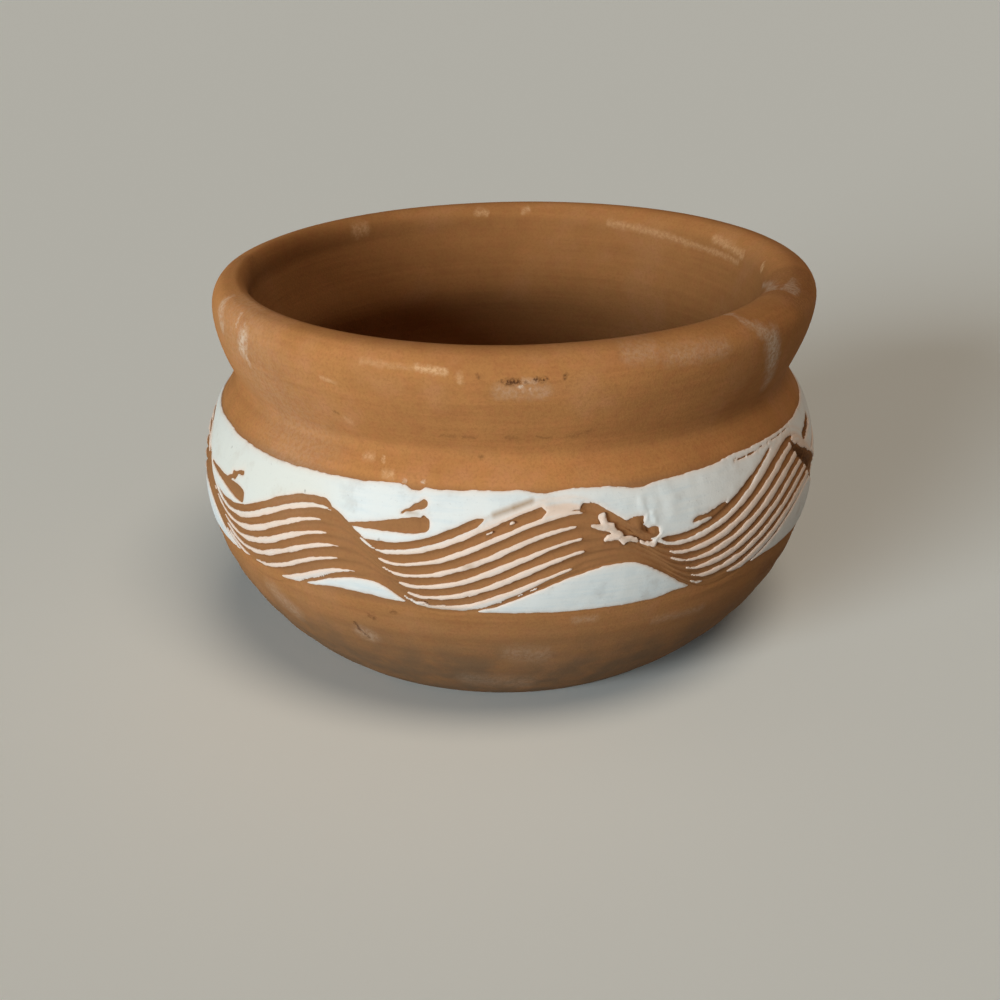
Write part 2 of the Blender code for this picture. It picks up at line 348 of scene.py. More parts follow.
STAINS_AND_SHADE = (
    ((-1.4, 0.0668), (0.4, 0.0667), 0.0008, 0.95),
    ((-2.3, 0.0669), (-2.2, 0.0669), 0.0005, 0.55),
    ((3.2, 0.0670), (3.6, 0.0670), 0.0007, 0.95),
    ((4.2, 0.0669), (4.7, 0.0670), 0.0007, 0.95),
    ((1.6, 0.0668), (1.8, 0.0665), 0.0005, 0.50),
    ((-6.1, 0.0676), (-5.7, 0.0675), 0.0005, 0.50),
    ((7.9, 0.0674), (7.8, 0.0671), 0.0006, 0.80),
    ((-27.8, 0.0216), (-27.3, 0.0199), 0.0006, 0.80),
    ((-27.4, 0.0201), (-25.8, 0.0186), 0.0005, 0.60),
    ((-24.4, 0.0240), (-23.4, 0.0238), 0.0007, 0.55),
    ((-19.8, 0.0258), (-19.2, 0.0258), 0.0007, 0.50),
    ((-5.8, 0.0526), (-5.3, 0.0527), 0.0006, 0.40),
    ((-12.5, 0.0565), (-10.0, 0.0564), 0.0006, 0.26),
    ((-8.5, 0.0565), (-6.5, 0.0566), 0.0006, 0.34),
    ((-1.5, 0.0565), (0.5, 0.0565), 0.0006, 0.34),
    ((4.0, 0.0565), (6.5, 0.0563), 0.0005, 0.34),
    ((-32.5, 0.0582), (-32.0, 0.0581), 0.0006, 0.50),
    # painted shade on the lip at the right, where a ridge in the lip keeps it in shade
    ((62.0, 0.0700), (80.0, 0.0712), 0.0045, 0.30),
    # painted shade on the clay lump under the slip lobe
    ((20.2, 0.0410), (20.8, 0.0406), 0.0012, 0.35),
    ((10.0, 0.0564), (13.1, 0.0569), 0.0011, 0.26),
    ((53.4, 0.0227), (65.0, 0.0220), 0.0028, 0.35),
    # painted shade in the gouge at the right of the band and in the bare cut above it
    ((62.4, 0.0437), (67.3, 0.0402), 0.0020, 0.75),
    ((67.3, 0.0402), (73.4, 0.0361), 0.0034, 0.80),
    ((68.4, 0.0438), (76.4, 0.0445), 0.0016, 0.65),
    ((-98.0, 0.0715), (-92.0, 0.0732), 0.0022, 0.22),
)
print(len(BLOOMS_AND_GLINT) + len(PEACH_MARKS_AND_GLINT), "pale strokes and", len(STAINS_AND_SHADE), "dark ones")

# %% Clay material
CLAY_DEEP = (0.425, 0.176, 0.059, 1)
CLAY_WARM = (0.530, 0.226, 0.076, 1)
CLAY_PINK = (0.545, 0.252, 0.110, 1)
CLAY_OCHRE = (0.460, 0.225, 0.068, 1)
CLAY_GRAIN = (0.270, 0.106, 0.035, 1)
CLAY_BLOOM_AND_GLINT = (0.700, 0.540, 0.400, 1)
CLAY_PEACH_AND_GLINT = (0.720, 0.440, 0.230, 1)
CLAY_STAIN_AND_SHADE = (0.090, 0.034, 0.014, 1)
CLAY_LOW_DARK = (0.150, 0.095, 0.055, 1)
CLAY_GROOVE_SHADE = (0.230, 0.118, 0.056, 1)
CLAY_INSIDE_SHADE = (0.150, 0.062, 0.020, 1)
DARKER_BELOW, DARKER_UNTIL = 0.010, 0.034


def make_clay():
    material, tree, shader, place = new_finish("fired_clay_finish", 0.9)
    fire = cloud(tree, place, 0.030, 2.0)
    patches = cloud(tree, place, 0.006, 4.0, 0.6)
    blush = cloud(tree, place, 0.014, 3.0, 0.6)
    grain = cloud(tree, place, 0.0005, 2.0, 0.7)
    finger_lines = cloud(tree, squeezed(tree, place, 0.040, 0.0010), 1.0, 3.0, 0.6)
    tone = sums(tree, "MULTIPLY_ADD", fire, 0.40, sums(tree, "MULTIPLY", patches, 0.40))
    tone = sums(tree, "MULTIPLY_ADD", finger_lines, 0.40, tone)
    mottle = cloud(tree, place, 0.0026, 4.0, 0.7)
    colour = mix_colour(tree, stretch(tree, tone, 0.45, 0.73), CLAY_DEEP, CLAY_WARM)
    colour = mix_colour(tree, stretch(tree, blush, 0.50, 0.70, 0.0, 0.60), colour, CLAY_PINK)
    colour = mix_colour(tree, stretch(tree, mottle, 0.42, 0.62, 0.40, 0.0), colour, CLAY_OCHRE)
    colour = mix_colour(tree, stretch(tree, grain, 0.38, 0.82, 0.0, 0.36), colour, CLAY_GRAIN)
    height = node(tree, "ShaderNodeSeparateXYZ", {0: place}).outputs["Z"]
    # darker and greyer towards the bottom, in patches
    low_patches = stretch(tree, patches, 0.2, 0.7, 0.6, 1.0)
    low_darkening = sums(tree, "MULTIPLY", stretch(tree, height, DARKER_BELOW, DARKER_UNTIL, 0.95, 0.0), low_patches)
    colour = mix_colour(tree, low_darkening, colour, CLAY_LOW_DARK)
    skin = skin_place(tree, place)
    climb = node(tree, "ShaderNodeSeparateXYZ", {0: skin}).outputs["Y"]
    # painted shade inside the mouth: darker from the lip's top inward, and less so further down
    inside_shade = stretch(tree, climb, LIP_TOP - 0.003, LIP_TOP + 0.004, 0.0, 0.42)
    inside_shade = sums(tree, "MULTIPLY", inside_shade, stretch(tree, climb, LIP_TOP + 0.006, LIP_TOP + 0.030, 1.0, 0.5))
    colour = mix_colour(tree, inside_shade, colour, CLAY_INSIDE_SHADE)
    # painted shade: the bared clay of the band, in the grooves and marks, is darkened for their depth
    below_top = stretch(tree, climb, BAND_TOP - 0.0005, BAND_TOP + 0.001, 0.55, 0.0)
    above_bottom = stretch(tree, climb, BAND_BOTTOM - 0.0015, BAND_BOTTOM + 0.001)
    groove_shade = sums(tree, "MULTIPLY", above_bottom, below_top)
    colour = mix_colour(tree, groove_shade, colour, CLAY_GROOVE_SHADE)
    skin = bent(tree, place, bent(tree, place, skin, 0.0016, 0.0014), 0.0004, 0.0005)
    wiped = stretch(tree, cloud(tree, place, 0.0007, 4.0, 0.75), 0.40, 0.60, 0.36, 1.0)
    for marks, tint in ((BLOOMS_AND_GLINT, CLAY_BLOOM_AND_GLINT), (PEACH_MARKS_AND_GLINT, CLAY_PEACH_AND_GLINT)):
        pale_cover = sums(tree, "MULTIPLY", stroke_cover(tree, skin, marks), wiped)
        colour = mix_colour(tree, pale_cover, colour, tint)
    broken = stretch(tree, cloud(tree, place, 0.0004, 2.0, 0.6), 0.38, 0.54, 0.35, 1.0)
    # dark strokes: real specks, cracks and stains, and painted shade on the right lip, the lump and the
    # gouge
    stain_and_shade = sums(tree, "MULTIPLY", stroke_cover(tree, skin, STAINS_AND_SHADE), broken)
    colour = mix_colour(tree, stain_and_shade, colour, CLAY_STAIN_AND_SHADE)
    tree.links.new(colour, shader.inputs["Base Color"])
    relief = sums(tree, "MULTIPLY_ADD", grain, 0.45, sums(tree, "MULTIPLY", finger_lines, 0.55))
    add_bump(tree, shader, relief, 0.00018, 0.7)
    return material


fired_clay = make_clay()
print("made", fired_clay.name, "with", len(fired_clay.node_tree.nodes), "nodes")

# %% [markdown]
# ## White slip
# The slip dried to a chalky white that is faintly blue where it lies thick and flat. Where the comb
# pushed it up into ridges it is creamy, and where it is thin the brown clay shines through. The mesh
# carries two painted values for that: rim, which is high near an edge and on a narrow ridge, and thin,
# for smears. Two wide strokes tint the slip: at the right they paint it whiter, as painted light on its
# shaded side, and at the left they make it a little duller and warmer.

# %% Slip material
SLIP_WHITE = (0.785, 0.822, 0.810, 1)
SLIP_BLUE = (0.690, 0.765, 0.785, 1)
SLIP_CREAM = (0.865, 0.660, 0.525, 1)
SLIP_PAINTED_LIGHT = (0.910, 0.905, 0.870, 1)
SLIP_DULL_LEFT = (0.755, 0.768, 0.705, 1)
SLIP_SMEAR = (0.400, 0.270, 0.160, 1)
SLIP_SPECK = (0.330, 0.300, 0.270, 1)
SIDE_TINTS = (  # angle and height of both ends, half width and colour
    # painted light: the slip is whiter at the right, on its shaded side
    ((48.0, 0.037), (95.0, 0.037), 0.024, SLIP_PAINTED_LIGHT),
    # the slip is a little duller and warmer at the left
    ((-80.0, 0.043), (-38.0, 0.043), 0.014, SLIP_DULL_LEFT),
)


def make_slip_finish():
    material, tree, shader, place = new_finish("white_slip_finish", 0.8)
    brush = cloud(tree, squeezed(tree, place, 0.012, 0.0009), 1.0, 3.0, 0.6)
    chalk = cloud(tree, place, 0.0040, 4.0, 0.6)
    grain = cloud(tree, place, 0.0005, 2.0, 0.7)
    specks = cloud(tree, place, 0.0022, 1.0, 0.5)
    streaks = sums(tree, "MULTIPLY_ADD", brush, 0.5, sums(tree, "MULTIPLY", chalk, 0.5))
    colour = mix_colour(tree, stretch(tree, streaks, 0.42, 0.62, 0.0, 0.7), SLIP_WHITE, SLIP_BLUE)
    skin = skin_place(tree, place)
    for start, end, half_width, tint in SIDE_TINTS:
        tint_share = stroke_cover(tree, skin, ((start, end, half_width, 1.0),))
        colour = mix_colour(tree, tint_share, colour, tint)
    colour = mix_colour(tree, painted(tree, "rim"), colour, SLIP_CREAM)
    worn = sums(tree, "MULTIPLY", stretch(tree, chalk, 0.52, 0.80), 0.20)
    thin = sums(tree, "ADD", painted(tree, "thin"), worn)
    colour = mix_colour(tree, thin, colour, SLIP_SMEAR)
    colour = mix_colour(tree, stretch(tree, grain, 0.62, 0.84, 0.0, 0.30), colour, SLIP_SPECK)
    colour = mix_colour(tree, stretch(tree, specks, 0.80, 0.85, 0.0, 0.75), colour, SLIP_SPECK)
    tree.links.new(colour, shader.inputs["Base Color"])
    relief = sums(tree, "MULTIPLY_ADD", brush, 0.6, sums(tree, "MULTIPLY", grain, 0.4))
    add_bump(tree, shader, relief, 0.00014, 0.4)
    return material


white_slip = make_slip_finish()
print("made", white_slip.name)

# %% [markdown]
# ## What the hand left
# No thrown pot is perfectly round or upright. This one wobbles a little and leans to the right. Clay and
# slip have to do that together, or the slip would sink into the clay, so both trees share this small
# group of nodes: it turns an angle, a radius and a height into a place, with the wobble and the lean in
# it.

# %% Hand group
HAND = {"Wobble Depth": 0.00035, "Wobble Size": 0.035, "Lean": LEAN, "Lean Height": LEAN_HEIGHT}


def make_hand_group():
    inputs = dict.fromkeys(("Angle", "Radius", "Height", *HAND), "Float")
    tree, given, result = new_tree("made_by_hand", inputs, {"Place": "Vector"})
    sine, cosine = sums(tree, "SINE", given["Angle"]), sums(tree, "COSINE", given["Angle"])
    front = sums(tree, "MULTIPLY", cosine, -1.0)

    def turned(radius, shift):
        across = sums(tree, "MULTIPLY_ADD", radius, sine, shift)
        places = {0: across, 1: sums(tree, "MULTIPLY", radius, front), 2: given["Height"]}
        return node(tree, "ShaderNodeCombineXYZ", places).outputs[0]

    scale = sums(tree, "DIVIDE", 1.0, given["Wobble Size"])
    sockets = {"Vector": turned(given["Radius"], 0.0), "Scale": scale, "Detail": 1.0}
    centred = sums(tree, "SUBTRACT", node(tree, "ShaderNodeTexNoise", sockets).outputs[0], 0.5)
    wobble = sums(tree, "MULTIPLY", sums(tree, "MULTIPLY", centred, 2.0), given["Wobble Depth"])
    above = sums(tree, "SUBTRACT", given["Height"], given["Lean Height"])
    lean = sums(tree, "MULTIPLY", above, given["Lean"])
    feed(tree, result["Place"], turned(sums(tree, "ADD", given["Radius"], wobble), lean))
    return tree


hand_group = make_hand_group()


def by_hand(tree, given, angle, radius, height):
    group = node(tree, "GeometryNodeGroup", node_tree=hand_group)
    for socket, value in zip(group.inputs, (angle, radius, height)):
        feed(tree, socket, value)
    for name in HAND:
        feed(tree, group.inputs[name], given[name])
    return group.outputs["Place"]


def end_tree(tree, result, geometry, place, material):
    """Moves the points, makes instances real, shades smooth and sets the material."""
    moved = node(tree, "GeometryNodeSetPosition", {"Geometry": geometry, "Position": place}).outputs[0]
    real = node(tree, "GeometryNodeRealizeInstances", {0: moved}).outputs[0]
    smooth = node(tree, "GeometryNodeSetShadeSmooth", {0: real}).outputs[0]
    finished = node(tree, "GeometryNodeSetMaterial", {0: smooth, 2: material}).outputs[0]
    feed(tree, result["Geometry"], finished)


def apply_tree(piece, tree, values):
    """Runs a tree on a piece and keeps the result as a plain mesh."""
    modifier = piece.modifiers.new(tree.name, "NODES")
    modifier.node_group = tree
    for item in tree.interface.items_tree:
        if item.in_out == "INPUT" and item.name in values:
            modifier[item.identifier] = values[item.name]
    evaluated = piece.evaluated_get(bpy.context.evaluated_depsgraph_get())
    mesh = bpy.data.meshes.new_from_object(evaluated)
    piece.modifiers.remove(modifier)
    pattern = piece.data
    piece.data = mesh
    bpy.data.meshes.remove(pattern)
    mesh.name = piece.name


print("made", hand_group.name)

# %% [markdown]
# ## The comb's waves
# The middle tooth rises slowly from a trough to a crest and falls quickly to the next trough. A half
# cosine between the turning points draws that. The other teeth draw the same line, moved along the
# slanting comb. Four waves were read from the front of the pot, and the back has four more of the same
# kind.

# %% Waves
TOOTH_COUNT = 7
TOOTH_PITCH = 0.00254
TOOTH_WIDTH = 0.00135
COMB_TILT = math.radians(48.5)
LAST_TOOTH = (TOOTH_COUNT - 1) / 2 * TOOTH_PITCH
FRONT_WAVES = (
    (-108.0, 0.0041, -80.0, 0.0125),
    (-53.7, 0.0024, -28.5, 0.0099),
    (-16.5, 0.0048, 13.0, 0.0136),
    (32.7, 0.0044, 65.8, 0.0140),
)
BACK_WAVE_COUNT = 4
BACK_WAVES_START = 83.8
BACK_TROUGH = 0.0041
BACK_CREST = 0.0125
RISE_SHARE = 0.65


def turning_points():
    """Angles and heights of the middle tooth's troughs and crests, from the first trough to itself."""
    turns = []
    for trough_angle, trough, crest_angle, crest in FRONT_WAVES:
        turns.append((trough_angle, trough))
        turns.append((crest_angle, crest))
    first_angle, first_height = turns[0]
    span = (first_angle + 360 - BACK_WAVES_START) / BACK_WAVE_COUNT
    for wave in range(BACK_WAVE_COUNT):
        turns.append((BACK_WAVES_START + wave * span, BACK_TROUGH))
        turns.append((BACK_WAVES_START + (wave + RISE_SHARE) * span, BACK_CREST))
    turns.append((first_angle + 360, first_height))
    angles, heights = np.array(turns).T
    return np.radians(angles), heights + BAND_BOTTOM


TURN_ANGLES, TURN_HEIGHTS = turning_points()
WAVE_COUNT = len(TURN_ANGLES) // 2


def comb_line(angle, along_comb):
    """Height, slope, wave and stage of the line of one point of the comb, along_comb below its middle.

    The stage runs from 0 at a trough through 1 at the crest to 2 at the next trough.
    """
    start = TURN_ANGLES[0]
    place = start + np.mod(angle - along_comb * math.cos(COMB_TILT) / BELLY_RADIUS - start, math.tau)
    turn = np.clip(np.searchsorted(TURN_ANGLES, place, side="right") - 1, 0, len(TURN_ANGLES) - 2)
    span = TURN_ANGLES[turn + 1] - TURN_ANGLES[turn]
    rise = TURN_HEIGHTS[turn + 1] - TURN_HEIGHTS[turn]
    share = (place - TURN_ANGLES[turn]) / span
    height = TURN_HEIGHTS[turn] + rise * (1 - np.cos(math.pi * share)) / 2
    slope = rise / 2 * np.sin(math.pi * share) * math.pi / span / BELLY_RADIUS
    return height - along_comb * math.sin(COMB_TILT), slope, turn // 2, turn % 2 + share


print(WAVE_COUNT, "waves of", TOOTH_COUNT, "teeth")

# %% [markdown]
# ## Marks in the slip
# The grooves, the marks where the comb turned, slips of the hand and crumbs are all drawn as distances on
# the belly: positive inside the mark, negative outside. Distances can be joined with max and cut with
# min, and the line where the sum is zero becomes the ragged edge of the slip. A little seamless noise
# makes it ragged.


# %% Noise and strokes on the belly
def ripple(angle, height, size, seed):
    """Smooth noise from -1 to 1 on the pot's surface, with no seam at the back."""
    around = max(3, round(math.tau * BELLY_RADIUS / size))
    upright = math.ceil(RIM_HEIGHT / size) + 3
    lattice = np.random.default_rng(seed).uniform(-1, 1, (upright, around))
    across, up = np.mod(angle / math.tau, 1.0) * around, height / size
    left, low = np.floor(across).astype(int), np.floor(up).astype(int)
    s, t = across - left, up - low
    s, t = s * s * (3 - 2 * s), t * t * (3 - 2 * t)
    left, right = left % around, (left + 1) % around
    lower = lattice[low, left] * (1 - s) + lattice[low, right] * s
    upper = lattice[low + 1, left] * (1 - s) + lattice[low + 1, right] * s
    return lower * (1 - t) + upper * t


def wrap(angle):
    return np.mod(angle + math.pi, math.tau) - math.pi


def stroke(angle, height, start, end, half_start, half_end):
    """Distance inside a straight stroke with round ends. Its ends are angles in degrees, and heights."""
    across = wrap(angle - math.radians(start[0])) * BELLY_RADIUS
    up = height - start[1]
    run, rise = math.radians(end[0] - start[0]) * BELLY_RADIUS, end[1] - start[1]
    share = np.clip((across * run + up * rise) / (run * run + rise * rise + 1e-12), 0, 1)
    away = np.hypot(across - share * run, up - share * rise)
    return half_start + (half_end - half_start) * share - away


print("noise and strokes are ready")

# %% [markdown]
# ## How the comb pressed
# The comb did not press evenly. Its first tooth leaves the clay on the way up to a high crest and on the
# way down, its last tooth only scratches, and over every crest the slip between the teeth breaks away, so
# the ridges end there and come back as thin lines before the next trough. In the widest wave two teeth
# lifted for a moment. The lists give the share of a full groove at places along a wave, which are joined
# by straight lines.

# %% Pressing of the comb
COMB_DEPTH = 0.00044
GROOVE_STAGES = (0.0, 0.1, 0.5, 0.9, 1.4, 1.6, 1.8, 2.0)
GROOVE_SHARES = (0.95, 0.95, 0.98, 1.08, 1.1, 0.5, 0.6, 0.95)
FIRST_FALL_STAGES = (1.08, 1.22, 1.72, 1.90)
FIRST_FALL_SHARES = (1.0, 0.0, 0.0, 1.0)
FIRST_HEIGHTS = (0.0430, 0.0448, 0.0462, 0.0468)
FIRST_HEIGHT_SHARES = (1.0, 0.55, 0.45, 0.0)
WIDE_WAVE = 2
WIDE_WAVE_LIFTS = {
    0: ((-5.6, -4.2, 24.0, 26.0), (1.0, 0.0, 0.0, 1.0)),
    1: ((4.8, 5.8, 11.0, 11.7, 14.0, 19.0), (1.0, 0.0, 0.0, 1.0, 1.35, 1.0)),
}
LAST_TOOTH_SHARE = 0.44
UNEVEN_SHARE, UNEVEN_SIZE, UNEVEN_STEP = 0.12, 0.003, 0.004
WIDER_UNTIL = 1.2
WIDER = {(1, 4): 1.20, (1, 5): 1.28}  # waves and teeth that cut wider
WIDER.update({(WIDE_WAVE, tooth): 1.15 for tooth in range(1, 6)})
# Stages along the wave, and the share of a groove there.
FIRST_WAVE_LIFT = (0.5, 0.65, 1.30, 1.45), (1.0, 0.0, 0.0, 1.0)
GOUGE_LIFT = (0.92, 1.02, 1.85, 1.95), (1.0, 0.2, 0.2, 1.0)
LIMB_LIFTS = {(0, tooth): FIRST_WAVE_LIFT for tooth in range(3)}
LIMB_LIFTS.update({(3, tooth): GOUGE_LIFT for tooth in range(1, 6)})
RIDGE_RETURNS = np.full(WAVE_COUNT, 1.58)
RIDGE_RETURNS[0] = 1.15
RIDGE_RETURNS[WIDE_WAVE] = 1.50
RIDGE_ENDS = np.full((WAVE_COUNT, TOOTH_COUNT - 1), 0.95)
RIDGE_ENDS[1] = (1.17, 0.96, 0.94, 0.96, 0.90, 1.00)
RIDGE_ENDS[2] = (1.27, 1.06, 0.94, 0.91, 0.87, 0.76)
RIDGE_ENDS[3] = 3.0  # a gouge cuts these ridges short
BREAK_REACH, LAST_BREAK_REACH = 0.00060, 0.00085
BREAK_DEPTH, BREAK_FULL = 0.00030, 0.0006
LIFT_GAP = 0.00025
TAPER_STAGES = (-0.45, -0.25, -0.08, 0.0, 0.03)
TAPER_LENGTHS = np.ones((WAVE_COUNT, TOOTH_COUNT - 1))
TAPER_LENGTHS[WIDE_WAVE, :2] = 0.25
TAPER_CORES = (0.0008, 0.00045, 0.00024, 0.00008, -0.0006)
STEEP_WAVE, STEEP_SHARE = 3, 0.96


def groove_half(tooth, angle, line, wave, stage):
    """Half width of the groove of one tooth."""
    share = np.interp(stage, GROOVE_STAGES, GROOVE_SHARES)
    share = share * np.where(wave == STEEP_WAVE, STEEP_SHARE, 1.0)
    if tooth == TOOTH_COUNT - 1:
        return TOOTH_WIDTH / 2 * LAST_TOOTH_SHARE * share
    if tooth == 0:
        share = share * np.interp(stage, FIRST_FALL_STAGES, FIRST_FALL_SHARES)
        weaker = share * np.interp(line, FIRST_HEIGHTS, FIRST_HEIGHT_SHARES)
        share = np.where(wave == WIDE_WAVE, share, weaker)
    if tooth in WIDE_WAVE_LIFTS:
        lift = np.interp(np.degrees(wrap(angle)), *WIDE_WAVE_LIFTS[tooth])
        share = np.where(wave == WIDE_WAVE, share * lift, share)
    for wide_wave in (1, WIDE_WAVE):
        rising = (wave == wide_wave) & (stage < WIDER_UNTIL)
        share = np.where(rising, share * WIDER.get((wide_wave, tooth), 1.0), share)
    for lifted_wave in (0, 3):
        if (lifted_wave, tooth) in LIMB_LIFTS:
            lift = np.interp(stage, *LIMB_LIFTS[lifted_wave, tooth])
            share = np.where(wave == lifted_wave, share * lift, share)
    return TOOTH_WIDTH / 2 * share


def ridge_core(ridge, wave, stage):
    """Half width left of a ridge. It tapers to its end and is negative where the ridge has broken away."""
    past_end = np.minimum(stage - RIDGE_ENDS[wave, ridge], RIDGE_RETURNS[wave] - stage)
    return np.interp(past_end / TAPER_LENGTHS[wave, ridge], TAPER_STAGES, TAPER_CORES)


def comb_marks(angle, height):
    """Distance inside the nearest groove, and how deep the comb cut there."""
    inside = np.full(np.shape(angle), -1.0)
    depth = np.zeros(np.shape(angle))
    for half_step in range(2 * TOOTH_COUNT - 1):
        tooth = half_step // 2
        line, slope, wave, stage = comb_line(angle, half_step / 2 * TOOTH_PITCH - LAST_TOOTH)
        away = np.abs(height - line) / np.hypot(1, slope)
        uneven = 1 + UNEVEN_SHARE * ripple(angle, half_step * UNEVEN_STEP + 0 * height, UNEVEN_SIZE, 5)
        if half_step % 2 == 0:
            half = groove_half(tooth, angle, line, wave, stage) * uneven + 1e-6
            lifted = LIFT_GAP * np.clip(1 - half / LIFT_GAP, 0, 1) * (tooth < TOOTH_COUNT - 1)
            inside = np.maximum(inside, half - lifted - away)
            press = COMB_DEPTH * np.clip(half / (TOOTH_WIDTH / 2), 0, 1)
            depth = np.maximum(depth, press * np.clip(1 - (away / half) ** 2, 0, 1))
        else:
            core = ridge_core(tooth, wave, stage) * uneven
            reach = LAST_BREAK_REACH if tooth == TOOTH_COUNT - 2 else BREAK_REACH
            inside = np.maximum(inside, np.minimum(away - core, reach - away))
            broken = BREAK_DEPTH * np.clip(-core / BREAK_FULL, 0, 1)
            depth = np.maximum(depth, broken * np.clip(1 - (away / reach) ** 2, 0, 1))
    return inside, depth


print("a groove is", TOOTH_WIDTH, "wide and", COMB_DEPTH, "deep")

# %% [markdown]
# ## Turning marks, wipes and dabs
# At every trough the comb left a tapered mark in the slip above it. Other marks were made once, by a
# finger, a drip or a crumb, so they are lists of short strokes with the angle and height where they lie
# on the pot.

# %% Single marks
TAIL_WIDTH = 0.00275
TAIL_CORNER = 0.0007
TAIL_DEPTH, TAIL_EDGE = 0.0005, 0.0004
TAIL_SHARES = (0.0, 0.11, 0.49, 0.84, 1.0)
TAIL_WIDTHS = (0.15, 0.29, 0.60, 1.00, 0.80)
# Start and span in degrees, height and rise, all counted from the trough.
USUAL_TAIL = (-11.0, 14.4, 0.0080, 0.0019)
TAILS = {wave: USUAL_TAIL for wave in range(WAVE_COUNT)}
TAILS[1] = (-15.8, 16.6, 0.0098, -0.0012)
TAILS[2] = (-11.6, 14.8, 0.0082, 0.0017)
del TAILS[3]  # the fourth trough shows no mark

BARE_STROKES = (
    ((-18.0, 0.0441), (-14.6, 0.0455), 0.00015, 0.00070, 0.0003),
    ((-14.4, 0.0435), (-14.3, 0.0421), 0.00055, 0.00055, 0.0008),
    ((-58.0, 0.0417), (-54.6, 0.0427), 0.00045, 0.00050, 0.0002),
    ((-60.2, 0.0396), (-56.4, 0.0419), 0.00045, 0.00050, 0.0002),
    ((19.3, 0.0418), (21.2, 0.0422), 0.00080, 0.00075, 0.0),
    ((19.8, 0.0407), (21.4, 0.0405), 0.00095, 0.00095, 0.0),
    ((21.3, 0.0399), (23.8, 0.0396), 0.00085, 0.00070, 0.0),
    ((19.6, 0.0423), (19.4, 0.0409), 0.00035, 0.00035, 0.0007),
    ((21.5, 0.0411), (22.5, 0.0404), 0.00050, 0.00050, 0.0007),
    ((22.5, 0.0404), (24.0, 0.0402), 0.00050, 0.00040, 0.0006),
    ((31.1, 0.0401), (35.0, 0.0406), 0.00020, 0.00055, 0.0002),
    ((35.0, 0.0406), (38.3, 0.0412), 0.00055, 0.00030, 0.0002),
    ((42.3, 0.0472), (51.1, 0.0472), 0.00010, 0.00010, 0.0),
    ((51.1, 0.0473), (63.0, 0.0474), 0.00007, 0.00007, 0.0),
    ((61.4, 0.0450), (63.6, 0.0428), 0.00040, 0.00110, 0.0010),
    ((63.6, 0.0428), (67.3, 0.0402), 0.00110, 0.00160, 0.0013),
    ((67.3, 0.0402), (73.4, 0.0361), 0.00160, 0.00260, 0.0013),
    ((73.4, 0.0361), (80.0, 0.0330), 0.00260, 0.00160, 0.0008),
    ((68.4, 0.0438), (76.4, 0.0445), 0.00075, 0.00085, 0.0008),
    ((-7.0, 0.0306), (-6.6, 0.0307), 0.00020, 0.00020, 0.0),
)
DABS = (
    ((14.7, 0.0436), (15.4, 0.0421), 0.00038, 0.00055, 0.00013),
    ((13.2, 0.0422), (15.6, 0.0419), 0.00040, 0.00062, 0.00006),
    ((15.6, 0.0421), (16.5, 0.0420), 0.00042, 0.00024, 0.00003),
    ((15.7, 0.0417), (17.8, 0.0404), 0.00052, 0.00040, 0.00004),
    ((15.2, 0.0398), (15.8, 0.0402), 0.00028, 0.00046, 0.00008),
    ((15.8, 0.0402), (17.5, 0.0400), 0.00048, 0.00048, 0.00012),
    ((17.5, 0.0400), (18.3, 0.0390), 0.00036, 0.00020, 0.00005),
    ((18.1, 0.0398), (19.3, 0.0394), 0.00044, 0.00046, 0.00004),
    ((19.3, 0.0394), (20.4, 0.0389), 0.00044, 0.00028, 0.00003),
    ((21.3, 0.0388), (22.4, 0.0379), 0.00026, 0.00036, 0.00011),
    ((22.4, 0.0379), (23.6, 0.0378), 0.00038, 0.00038, 0.00012),
    ((23.6, 0.0378), (24.2, 0.0386), 0.00032, 0.00030, 0.00010),
    ((24.2, 0.0386), (24.9, 0.0397), 0.00030, 0.00032, 0.00007),
    ((22.5, 0.0428), (22.4, 0.0421), 0.00060, 0.00060, 0.00012),
    ((23.4, 0.0427), (23.7, 0.0415), 0.00105, 0.00085, 0.00015),
    ((-17.1, 0.0293), (-12.3, 0.0282), 0.00012, 0.00018, 0.00000),
    ((-12.3, 0.0282), (-7.1, 0.0283), 0.00018, 0.00024, 0.00000),
    ((-0.3, 0.0431), (0.3, 0.0433), 0.00022, 0.00020, 0.00006),
    ((-3.8, 0.0418), (-3.0, 0.0420), 0.00017, 0.00017, 0.00006),
)
FOLDS = (
    ((21.7, 0.0452), (22.0, 0.0434), 0.0012, 0.0012, 0.00010),
    ((23.8, 0.0440), (24.3, 0.0420), 0.0017, 0.0015, 0.00010),
    ((27.0, 0.0455), (27.4, 0.0425), 0.0024, 0.0022, 0.00008),
)
MOUNDS = (
    ((20.6, 0.0416), (21.2, 0.0409), 0.0017, 0.0017, 0.0006),
    ((22.4, 0.0396), (23.4, 0.0394), 0.0010, 0.0010, 0.0003),
)
WARPS = {0.0011: 0.00022, 0.0005: 0.00009}  # sizes of the bends in the strokes and how far they reach


